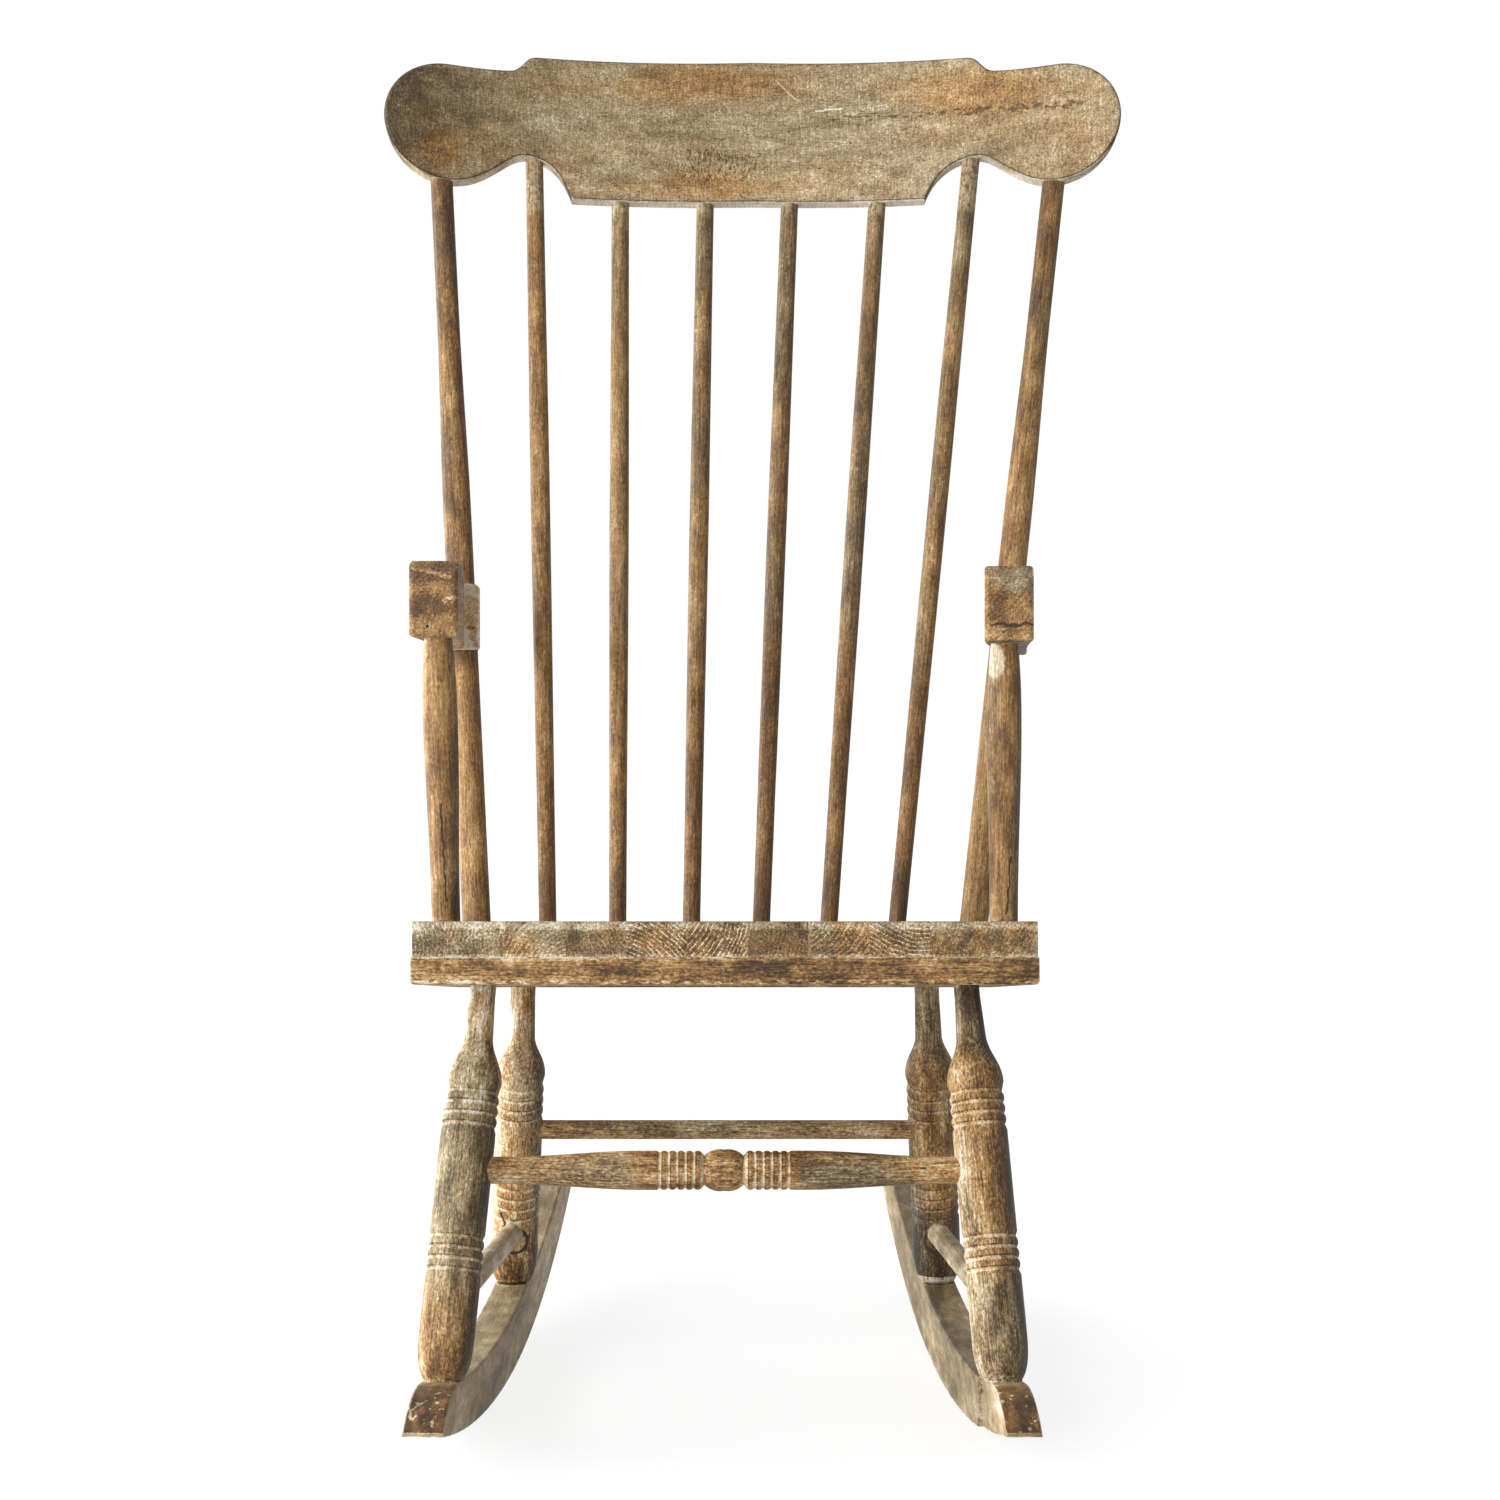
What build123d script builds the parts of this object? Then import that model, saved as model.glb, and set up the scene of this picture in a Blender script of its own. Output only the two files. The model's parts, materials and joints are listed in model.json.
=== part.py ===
from build123d import *
import os
from math import atan2, cos, radians, sin, sqrt

# Spindle-back rocking chair with arms, in solid wood. Millimetres, +Z up, front towards -Y.
# The origin is on the floor, under the middle of the crest rail and midway between the rocker tips.
# "Left" and "right" are as seen from the front: side -1 is left, side +1 is right.

# ---------------------------------------------------------------- driving dimensions
# Joinery
glue_gap = 0.1  # radial clearance of every round end in its socket
end_play = 1.0  # how much deeper a socket is than the end that goes into it

# Rockers: planks on edge, running edge made of two arcs that meet on the contact line
rocker_thickness = 29.5
rocker_front_reach = 388.0  # along the plank, from the contact line to the front tip
rocker_rear_reach = 517.0
rocker_front_radius = 2000.0
rocker_rear_radius = 1620.0
rocker_top_radius = 2080.0
rocker_top_low = 44.2  # height of the lowest point of the top edge
rocker_top_low_ahead = 57.0  # how far that point is ahead of the contact line
rocker_nose_length = 84.0
rocker_tail_length = 84.0
rocker_nose_swell = 8.0  # how far the nose bulges above the straight line to its tip
rocker_tip_height = 3.0
rocker_edge_round = 2.0
pad_step_depth = 4.0  # the right rocker is stepped back around its front foot
pad_step_behind_foot = 34.0

# Where the feet stand, measured from the contact line and from the chair's middle
foot_front_ahead = 288.5
foot_rear_behind = 152.5
front_splay = 23.0  # how far each foot stands outside the top of its leg
rear_splay = 14.9
foot_front_drift = -1.6  # the front feet stand this far right of the middle
foot_rear_drift = 0.3

# Seat: staves glued edge to edge on a frame of battens, sloping down to the rear
seat_front_ahead = 261.5
seat_front_height = 393.0
seat_slope = 5.0
seat_width = 464.6
seat_depth = 405.0
board_thickness = 26.5
batten_thickness = 20.5
batten_proud = 1.0  # the battens stand this far outside the staves at each side
left_stave_width = 24.0  # the two outermost staves are cut narrower
right_stave_width = 35.2
full_stave_count = 9
seat_edge_round = 4.0
batten_front_width = 130.0
batten_rear_width = 92.0
batten_side_width = 64.0
batten_edge_round = 2.5

# Legs: one turned pattern, in a longer front and a shorter rear version
leg_front_inset = 56.0  # from the front edge of the seat, on its slope
leg_rear_inset = 72.0
leg_front_side_inset = 49.3  # from the side of the seat to the leg's axis
leg_rear_side_inset = 61.9
leg_socket_depth = 16.0
foot_radius = 13.8
foot_flare = 40.0
foot_tenon_radius = 8.0
foot_tenon_length = 20.0
shaft_radius = 20.6
bulge_radius = 21.2
groove_depth = 1.5
ring_count = 3
neck_spread_radius = 11.4
neck_spread_below_bulge = 33.0  # height of the bell between the bulge and the slim neck
bell_fullness = 0.6  # how far the bell has spread at half its height
front_lower_rings = 80.0
front_upper_rings = 188.0
front_ring_pitch = 8.1
front_neck_radius = 9.7
rear_lower_rings = 66.0
rear_upper_rings = 159.0
rear_ring_pitch = 9.4
rear_neck_radius = 10.4

# Stretchers, with the height of their ends along the leg axes
stretcher_stop = 3.0  # each end stops this far from the middle of its leg
front_stretcher_height = 155.0
front_stretcher_end_radius = 10.1
front_stretcher_swell_radius = 14.6
front_stretcher_end_length = 28.0
centre_ball_radius = 15.4
centre_ball_half = 14.6
centre_cove_radius = 11.0
ball_shoulder = 0.72  # where the ball's side turns in, as a share of its half length
stretcher_bead_start = 16.4
stretcher_bead_pitch = 6.3
stretcher_bead_count = 5
rear_stretcher_height = 144.0
rear_stretcher_radius = 8.2
side_stretcher_front_height = 55.0
side_stretcher_rear_height = 47.5
side_stretcher_radius = 9.2

# Back: six spindles between two posts, all held by a curved crest rail
back_lean = 24.4  # how far the back has racked towards the right at the crest
back_recline = 13.5
back_length = 670.3  # from the seat to the crest rail, in the middle
back_row_inset = 25.0  # from the rear edge of the seat to the row of sockets
spindle_count = 6
post_side_inset = 18.8  # from the side of the seat to the post's socket
seat_hole_drift = [0.0, 0.0, -1.0, 1.5, 0.5, -2.5, -5.0, 0.0]  # hand-bored, so off the marks by this
post_ear_inset = 51.25  # from the end of the crest rail to the post's socket
crest_hole_drift = [-3.0, -0.5, -1.5, -3.0, -4.5, -3.5, 2.5, -4.5]
back_socket_depth = 21.0
crest_tenon_radius = 5.5
crest_tenon_length = 24.0
spindle_seat_radius = 7.6
spindle_belly_radius = 8.6
spindle_top_radius = 7.9
spindle_belly_place = 0.55  # the fullest point, as a share of the length
post_radius = 12.3
post_top_radius = 9.9

# Crest rail: a plank bent to a radius, with round ears and a raised middle
crest_thickness = 18.5
crest_radius = 670.0
crest_tilt = 8.0
crest_height = 132.4
crest_half_width = 326.0
ear_radius = 54.0
ear_centre_height = 56.3
ear_turn = 28.0  # how far past its lowest point the ear stays round
block_inset_left = 163.0  # from the end of the rail to the corner of its middle block
block_inset_right = 170.0
crest_block_drop = 3.4  # the lower corners hang this far below the middle
arch_crown_inset = 124.0
arch_crown_height = 33.0
arch_shape = [(0.22, 0.45), (0.62, 0.88)]  # how the arch rises, as shares of its run and height
top_block_inset = 131.8
top_block_fall = 5.5  # the raised middle is this much lower at its ends
top_ledge_inset = 107.2
top_ledge_height = 111.8
crest_edge_round = 2.5

# Arms and the turned stumps that carry them
arm_bottom = 602.0
arm_twist = 1.9  # the left arm sits this much higher than the middle, the right one lower
arm_height = 57.0
arm_width = 36.5
arm_drift = -2.8  # both arms lean this far to the left at their front ends
arm_front_ahead = 267.5
arm_block_length = 48.0
arm_hollow = 2.0  # the outer side is hollowed by this much
arm_pad_half = 14.6  # from the post's axis to the inner side of the pad around it
arm_waist = 4.0  # the hollow inner side comes this close to the arm's middle line
arm_pad_ahead = 20.0
arm_pad_behind = 24.0
arm_bevel_drop = 9.0
arm_bevel_back = 13.0
arm_corner_round = 4.0
arm_edge_round = 3.2
stump_side_inset = 21.3
stump_lean = 2.3  # each stump leans this far outwards on its way up to the arm
stump_seat_inset = 47.0
stump_arm_inset = 41.0
stump_foot_radius = 10.8
stump_belly_radius = 12.4
stump_top_radius = 10.4
stump_belly_place = 0.46
stump_tenon_radius = 9.0
stump_tenon_length = 34.0
stump_socket_depth = 20.0

# Fasteners
nail_radius = 1.3
nail_length = 46.0
nail_sunk = 1.5
nail_above_arm_bottom = 7.5
nail_offset = -4.2
screw_radius = 2.2
screw_head_radius = 4.4
screw_head_height = 2.6
screw_length = 36.0
screw_sunk = 0.6
screw_gap = 0.05
screw_side_inset = 16.0

os.makedirs("parts", exist_ok=True)

# ---------------------------------------------------------------- frames worked out from them
contact_y = (rocker_front_reach - rocker_rear_reach) / 2
chair_x = -back_lean  # middle of everything below the back
seat_half = seat_width / 2
stave_width = (seat_width - left_stave_width - right_stave_width) / full_stave_count
leg_front_half = seat_half - leg_front_side_inset
leg_rear_half = seat_half - leg_rear_side_inset
foot_front_half = leg_front_half + front_splay
foot_rear_half = leg_rear_half + rear_splay
stump_half = seat_half - stump_side_inset
arm_front_half = stump_half + stump_lean
post_place = (spindle_count + 1) / 2  # the posts' place in the row, counted from its middle
seat_hole_pitch = (seat_half - post_side_inset) / post_place
crest_hole_pitch = (crest_half_width - post_ear_inset) / post_place
seat_stack = board_thickness + batten_thickness
seat_tilt = radians(seat_slope)
seat_plane = Plane(
    origin=(chair_x, contact_y - seat_front_ahead, seat_front_height),
    x_dir=(1, 0, 0),
    z_dir=(0, sin(seat_tilt), cos(seat_tilt)),
)
back_row_depth = seat_depth - back_row_inset
back_foot = seat_plane.from_local_coords((0, back_row_depth, 0))
crest_origin = back_foot + Vector(
    back_lean,
    back_length * sin(radians(back_recline)),
    back_length * cos(radians(back_recline)),
)
crest_plane = Plane(
    origin=crest_origin,
    x_dir=(1, 0, 0),
    z_dir=(0, -cos(radians(crest_tilt)), sin(radians(crest_tilt))),
)
arm_front_y = contact_y - arm_front_ahead


def name_of(side):
    return "left" if side < 0 else "right"


def along(start, end):
    """Plane at start whose Z runs towards end."""
    return Plane(origin=start, x_dir=(1, 0.01, 0.01), z_dir=Vector(*end) - Vector(*start))


def lathe_plane(axis):
    """Plane through a turning axis: X is the radius and Y runs along the axis."""
    return Plane(origin=axis.origin, x_dir=axis.x_dir, z_dir=-axis.y_dir)


def rod(axis, radius, low, high, mode=Mode.ADD):
    """Straight round stock along an axis, between two heights."""
    with Locations(axis.offset(low)):
        Cylinder(radius, high - low, align=(Align.CENTER, Align.CENTER, Align.MIN), mode=mode)


def bore(axis, radius, low, high, gap=glue_gap):
    """Round socket along an axis, wider by a gap than what goes into it."""
    rod(axis, radius + gap, low, high, Mode.SUBTRACT)


def finish(piece, label):
    piece.part.label = label
    export_step(piece.part, "parts/" + label + ".step")


# ---------------------------------------------------------------- rockers
def running_edge(reach):
    """Height of the running edge at a signed distance behind the contact line."""
    radius = rocker_front_radius if reach < 0 else rocker_rear_radius
    return radius - sqrt(radius**2 - reach**2)


def top_edge(reach):
    """Height of the top edge at a signed distance behind the contact line."""
    from_low = reach + rocker_top_low_ahead
    return rocker_top_low + rocker_top_radius - sqrt(rocker_top_radius**2 - from_low**2)


def foot_x(side, front):
    if front:
        return chair_x + foot_front_drift + side * foot_front_half
    return chair_x + foot_rear_drift + side * foot_rear_half


def rocker_plane(side):
    """Mid plane of a rocker: X along the plank to the rear, Y up."""
    turn = atan2(foot_x(side, True) - foot_x(side, False), foot_front_ahead + foot_rear_behind)
    contact_x = foot_x(side, True) - foot_front_ahead * sin(turn) / cos(turn)
    return Plane(
        origin=(contact_x, contact_y, 0),
        x_dir=(-sin(turn), cos(turn), 0),
        z_dir=(cos(turn), sin(turn), 0),
    )


def foot_point(side, front):
    """Where a leg's axis meets the top edge of its rocker."""
    plane = rocker_plane(side)
    reach = (-foot_front_ahead if front else foot_rear_behind) / plane.x_dir.Y
    return plane.from_local_coords((reach, top_edge(reach), 0))


def rocker_edge_points(low_reach, high_reach, height):
    """Start, middle and end of one arc of the rocker's outline."""
    middle = (low_reach + high_reach) / 2
    return [(reach, height(reach)) for reach in (low_reach, middle, high_reach)]


def foot_tenon_axis(side, front):
    """Leg axis, from the rocker's top edge up to the seat's underside."""
    inset = leg_front_inset if front else seat_depth - leg_rear_inset
    half = leg_front_half if front else leg_rear_half
    top = seat_plane.from_local_coords((side * half, inset, -seat_stack))
    return along(foot_point(side, front), top), (top - foot_point(side, front)).length


def make_rocker(side):
    nose_top = rocker_nose_length - rocker_front_reach
    tail_top = rocker_rear_reach - rocker_tail_length
    nose_tip = (-rocker_front_reach, running_edge(-rocker_front_reach) + rocker_tip_height)
    tail_tip = (rocker_rear_reach, running_edge(rocker_rear_reach) + rocker_tip_height)
    nose_middle = ((nose_top + nose_tip[0]) / 2, (top_edge(nose_top) + nose_tip[1]) / 2 + rocker_nose_swell)
    tail_middle = ((tail_top + tail_tip[0]) / 2, (top_edge(tail_top) + tail_tip[1]) / 2 + rocker_nose_swell)
    with BuildPart() as rocker:
        with BuildSketch(rocker_plane(side)):
            with BuildLine():
                ThreePointArc(*rocker_edge_points(-rocker_front_reach, 0, running_edge))
                ThreePointArc(*rocker_edge_points(0, rocker_rear_reach, running_edge))
                Line((rocker_rear_reach, running_edge(rocker_rear_reach)), tail_tip)
                ThreePointArc(tail_tip, tail_middle, (tail_top, top_edge(tail_top)))
                ThreePointArc(*rocker_edge_points(tail_top, nose_top, top_edge))
                ThreePointArc((nose_top, top_edge(nose_top)), nose_middle, nose_tip)
                Line(nose_tip, (-rocker_front_reach, running_edge(-rocker_front_reach)))
            make_face()
        extrude(amount=rocker_thickness / 2, both=True)
        top_edges = rocker.edges().filter_by(GeomType.CIRCLE).sort_by(SortBy.LENGTH)[-2:]
        fillet(top_edges, rocker_edge_round)
        for front in (True, False):
            axis, _ = foot_tenon_axis(side, front)
            bore(axis, foot_tenon_radius, -foot_tenon_length - end_play, foot_radius)
        if side > 0:
            step_end = pad_step_behind_foot - foot_front_ahead
            with BuildSketch(rocker_plane(side).offset(-rocker_thickness / 2)):
                with Locations((step_end, 0)):
                    Rectangle(rocker_front_reach, rocker_front_reach, align=(Align.MAX, Align.CENTER))
            extrude(amount=pad_step_depth, mode=Mode.SUBTRACT)
    return rocker


for side in (-1, 1):
    finish(make_rocker(side), "rocker_" + name_of(side))


# ---------------------------------------------------------------- legs
def beads(start, pitch, count, crest, valley):
    """Half-round beads in a turned outline, from valley to valley."""
    for index in range(count):
        low = start + index * pitch
        ThreePointArc((valley, low), (crest, low + pitch / 2), (valley, low + pitch))


def stretcher_ends(kind, side):
    """The two leg-axis points that a stretcher joins."""
    if kind == "side":
        front_axis, _ = foot_tenon_axis(side, True)
        rear_axis, _ = foot_tenon_axis(side, False)
        return (
            front_axis.from_local_coords((0, 0, side_stretcher_front_height)),
            rear_axis.from_local_coords((0, 0, side_stretcher_rear_height)),
        )
    front = kind == "front"
    height = front_stretcher_height if front else rear_stretcher_height
    here, _ = foot_tenon_axis(side, front)
    there, _ = foot_tenon_axis(-side, front)
    return here.from_local_coords((0, 0, height)), there.from_local_coords((0, 0, height))


def make_leg(side, front):
    axis, length = foot_tenon_axis(side, front)
    lower = front_lower_rings if front else rear_lower_rings
    upper = front_upper_rings if front else rear_upper_rings
    pitch = front_ring_pitch if front else rear_ring_pitch
    neck = front_neck_radius if front else rear_neck_radius
    valley = shaft_radius - groove_depth
    rings = ring_count * pitch
    bulge = upper + rings + pitch
    neck_start = bulge + neck_spread_below_bulge
    with BuildPart() as leg:
        with BuildSketch(lathe_plane(axis)):
            with BuildLine():
                Polyline((foot_radius, 0), (foot_radius, -foot_radius / 2), (0, -foot_radius / 2))
                Line((0, -foot_radius / 2), (0, length + leg_socket_depth))
                Line((0, length + leg_socket_depth), (neck, length + leg_socket_depth))
                Line((neck, length + leg_socket_depth), (neck, length - neck))
                Line((neck, length - neck), (neck_spread_radius, neck_start))
                Spline(
                    (neck_spread_radius, neck_start),
                    (
                        neck_spread_radius + bell_fullness * (bulge_radius - neck_spread_radius),
                        bulge + neck_spread_below_bulge / 2,
                    ),
                    (bulge_radius, bulge),
                    tangents=[(0.15, -1), (0, -1)],
                )
                Line((bulge_radius, bulge), (valley, upper + rings))
                beads(upper, pitch, ring_count, shaft_radius, valley)
                Line((valley, upper), (shaft_radius, upper - pitch / 2))
                Line((shaft_radius, upper - pitch / 2), (shaft_radius, lower + rings + pitch / 2))
                Line((shaft_radius, lower + rings + pitch / 2), (valley, lower + rings))
                beads(lower, pitch, ring_count, shaft_radius, valley)
                Line((valley, lower), (shaft_radius, lower - pitch / 2))
                Line((shaft_radius, lower - pitch / 2), (shaft_radius, foot_flare))
                Spline((shaft_radius, foot_flare), (foot_radius, 0), tangents=[(0, -1), (-0.8, -1)])
            make_face()
        revolve(axis=Axis(axis.origin, axis.z_dir))
        with BuildSketch(rocker_plane(side)):
            with BuildLine():
                ThreePointArc(*rocker_edge_points(-rocker_front_reach, rocker_rear_reach, top_edge))
                Polyline(
                    (rocker_rear_reach, top_edge(rocker_rear_reach)),
                    (rocker_rear_reach, -foot_tenon_length),
                    (-rocker_front_reach, -foot_tenon_length),
                    (-rocker_front_reach, top_edge(-rocker_front_reach)),
                )
            make_face()
        extrude(amount=rocker_thickness, both=True, mode=Mode.SUBTRACT)
        rod(axis, foot_tenon_radius, -foot_tenon_length, foot_radius)
        cross_radius = front_stretcher_end_radius if front else rear_stretcher_radius
        here, there = stretcher_ends("front" if front else "rear", side)
        bore(along(here, there), cross_radius, stretcher_stop - end_play, length / 3)
        low_front, low_rear = stretcher_ends("side", side)
        here, there = (low_front, low_rear) if front else (low_rear, low_front)
        side_axis = along(here, there)
        bore(side_axis, side_stretcher_radius, stretcher_stop - end_play, length / 3)
    return leg


for side in (-1, 1):
    finish(make_leg(side, True), "leg_front_" + name_of(side))
    finish(make_leg(side, False), "leg_rear_" + name_of(side))


# ---------------------------------------------------------------- stretchers
def make_dowel(start, end, radius):
    """Plain round stretcher between two leg axes."""
    axis = along(start, end)
    span = (end - start).length
    with BuildPart() as dowel:
        rod(axis, radius, stretcher_stop, span - stretcher_stop)
    return dowel


def make_front_stretcher():
    left_end, right_end = stretcher_ends("front", -1)
    half = (right_end - left_end).length / 2
    middle = (left_end + right_end) * 0.5
    bead_end = stretcher_bead_start + stretcher_bead_count * stretcher_bead_pitch
    swell = front_stretcher_swell_radius
    end_start = half - stretcher_stop - front_stretcher_end_length
    with BuildPart() as stretcher:
        for end in (left_end, right_end):
            axis = along(middle, end)
            with BuildSketch(lathe_plane(axis)):
                with BuildLine():
                    Polyline((centre_ball_radius, 0), (0, 0), (0, half - stretcher_stop))
                    Line((0, half - stretcher_stop), (front_stretcher_end_radius, half - stretcher_stop))
                    Line(
                        (front_stretcher_end_radius, half - stretcher_stop),
                        (front_stretcher_end_radius, end_start),
                    )
                    Spline(
                        (front_stretcher_end_radius, end_start),
                        (swell, bead_end + 2 * stretcher_bead_pitch),
                        tangents=[(0, -1), (0, -1)],
                    )
                    Line(
                        (swell, bead_end + 2 * stretcher_bead_pitch),
                        (swell, bead_end + stretcher_bead_pitch / 3),
                    )
                    Line((swell, bead_end + stretcher_bead_pitch / 3), (swell - groove_depth, bead_end))
                    beads(
                        stretcher_bead_start,
                        stretcher_bead_pitch,
                        stretcher_bead_count,
                        swell,
                        swell - groove_depth,
                    )
                    Line(
                        (swell - groove_depth, stretcher_bead_start),
                        (centre_cove_radius, centre_ball_half),
                    )
                    ThreePointArc(
                        (centre_cove_radius, centre_ball_half),
                        (centre_ball_radius - groove_depth, centre_ball_half * ball_shoulder),
                        (centre_ball_radius, 0),
                    )
                make_face()
            revolve(axis=Axis(axis.origin, axis.z_dir))
    return stretcher


finish(make_front_stretcher(), "stretcher_front")
finish(make_dowel(*stretcher_ends("rear", -1), rear_stretcher_radius), "stretcher_rear")
for side in (-1, 1):
    front_end, rear_end = stretcher_ends("side", side)
    finish(make_dowel(front_end, rear_end, side_stretcher_radius), "stretcher_side_" + name_of(side))


# ---------------------------------------------------------------- crest rail
def crest_outline():
    """Closed outline of the crest rail in its own plane, with X across and Y up its slope."""
    ear_x = crest_half_width - ear_radius
    turn = radians(ear_turn)
    ear_low = (ear_x - ear_radius * sin(turn), ear_centre_height - ear_radius * cos(turn))
    ear_high = (ear_x, ear_centre_height + ear_radius)
    arch_crown_half = crest_half_width - arch_crown_inset
    top_block = (crest_half_width - top_block_inset, crest_height - top_block_fall)
    top_ledge = (crest_half_width - top_ledge_inset, top_ledge_height)
    halves = []
    for block_half in (crest_half_width - block_inset_left, crest_half_width - block_inset_right):
        run = arch_crown_half - block_half
        arch = [(block_half + run * part, arch_crown_height * height) for part, height in arch_shape]
        with BuildSketch() as half:
            with BuildLine():
                Line((0, 0), (block_half, -crest_block_drop))
                Spline(
                    (block_half, -crest_block_drop),
                    *arch,
                    (arch_crown_half, arch_crown_height),
                    ear_low,
                    tangents=[(0.4, 1), (cos(turn), -sin(turn))],
                )
                ThreePointArc(ear_low, (crest_half_width, ear_centre_height), ear_high)
                Spline(ear_high, top_ledge, tangents=[(-1, 0), (-1, 0.1)])
                Spline(top_ledge, top_block, tangents=[(-1, 0.1), (-1, 0.05)])
                Line(top_block, (0, crest_height))
                Line((0, crest_height), (0, 0))
            make_face()
        halves.append(half.sketch)
    with BuildSketch() as outline:
        add(halves[1])
        add(mirror(halves[0], about=Plane.YZ, mode=Mode.PRIVATE))
    return outline.sketch


outline_face = crest_outline()
with BuildPart() as crest_prism:
    with BuildSketch(crest_plane):
        add(outline_face)
    extrude(amount=crest_radius / 2, both=True)


def hole_across(index, pitch, drift):
    """Place of one hole in a row, from the row's middle: its mark and how far off the mark it is."""
    return pitch * (index - post_place) + drift[index]


def crest_entry_height(across):
    """Height of the crest's lower edge at a distance from its middle."""
    probe = Edge.make_line((across, -crest_height, 0), (across, ear_centre_height, 0))
    return (probe & outline_face).edges()[0].bounding_box().min.Y


def back_member(index):
    """Axis of one upright from the seat, and the distance along it to its crest socket's middle."""
    across = hole_across(index, crest_hole_pitch, crest_hole_drift)
    forward = crest_radius - sqrt(crest_radius**2 - across**2)
    hole = hole_across(index, seat_hole_pitch, seat_hole_drift)
    foot = seat_plane.from_local_coords((hole, back_row_depth, 0))
    aim_height = crest_entry_height(across) + crest_tenon_length / 2
    aim = crest_plane.from_local_coords((across, aim_height, forward))
    return along(foot, aim), (aim - foot).length


back_members = [back_member(index) for index in range(spindle_count + 2)]

with BuildPart() as crest_rail:
    crest_floor = Plane(
        origin=crest_plane.origin, x_dir=crest_plane.x_dir, z_dir=crest_plane.y_dir
    ).offset(-crest_height)
    with BuildSketch(crest_floor):
        with Locations((0, -crest_radius)):
            Circle(crest_radius + crest_thickness / 2)
            Circle(crest_radius - crest_thickness / 2, mode=Mode.SUBTRACT)
    extrude(amount=3 * crest_height)
    add(crest_prism.part, mode=Mode.INTERSECT)
    faces_front_and_back = crest_rail.faces().filter_by(GeomType.CYLINDER).sort_by(SortBy.AREA)[-2:]
    fillet(faces_front_and_back.edges(), crest_edge_round)
    for axis, reach in back_members:
        socket_end = reach + crest_tenon_length / 2 + end_play
        bore(axis, crest_tenon_radius, reach / 2, socket_end)
finish(crest_rail, "crest_rail")


# ---------------------------------------------------------------- posts and spindles
def make_back_member(index, stations):
    """Turn one upright from (height, radius) stations, seat it in the crest and add its crest tenon."""
    axis, reach = back_members[index]
    seat_radius = stations[0][1]
    top_radius = stations[-1][1]
    with BuildPart() as upright:
        with BuildSketch(lathe_plane(axis)):
            with BuildLine():
                Polyline(
                    (seat_radius, stations[0][0]),
                    (seat_radius, -back_socket_depth),
                    (0, -back_socket_depth),
                    (0, reach),
                    (top_radius, reach),
                    (top_radius, stations[-1][0]),
                )
                Spline(*[(radius, height) for height, radius in stations], tangents=[(0, 1), (0, 1)])
            make_face()
        revolve(axis=Axis(axis.origin, axis.z_dir))
        add(crest_prism.part, mode=Mode.SUBTRACT)
        rod(axis, crest_tenon_radius, reach - crest_tenon_length, reach + crest_tenon_length / 2)
    return upright


for index in range(spindle_count + 2):
    axis, reach = back_members[index]
    if index in (0, spindle_count + 1):
        above_arm = (arm_bottom + 2 * arm_height - axis.origin.Z) / axis.z_dir.Z
        stations = [(above_arm, post_radius), (reach - crest_height, post_top_radius)]
        label = "back_post_" + name_of(index - 1)
    else:
        stations = [
            (back_socket_depth, spindle_seat_radius),
            (reach * spindle_belly_place, spindle_belly_radius),
            (reach - crest_tenon_length, spindle_top_radius),
        ]
        label = "spindle_" + str(index)
    finish(make_back_member(index, stations), label)


# ---------------------------------------------------------------- arms and stumps
def at_height(axis, height):
    """Point where an axis passes a height above the floor."""
    return axis.from_local_coords((0, 0, (height - axis.origin.Z) / axis.z_dir.Z))


def post_axis(side):
    return back_members[0 if side < 0 else spindle_count + 1][0]


def arm_low(side):
    """Height of the underside of one arm."""
    return arm_bottom - side * arm_twist


def arm_plane(side):
    """Plane of the arm's underside: origin at the front end, X towards the post."""
    front = Vector(chair_x + arm_drift + side * arm_front_half, arm_front_y, arm_low(side))
    post = at_height(post_axis(side), arm_low(side) + arm_height / 2)
    return Plane(origin=front, x_dir=(post.X - front.X, post.Y - front.Y, 0), z_dir=(0, 0, 1))


def stump_axis(side):
    foot = seat_plane.from_local_coords((side * stump_half, stump_seat_inset, 0))
    top = Vector(chair_x + arm_drift + side * arm_front_half, arm_front_y + stump_arm_inset, arm_low(side))
    return along(foot, top), (top - foot).length


def nail_axis(side):
    """Nail from the arm's front face back through the stump's tenon."""
    face = arm_plane(side).from_local_coords((0, -nail_offset, nail_above_arm_bottom))
    behind = at_height(stump_axis(side)[0], arm_low(side) + nail_above_arm_bottom)
    return along(face, behind)


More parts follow.
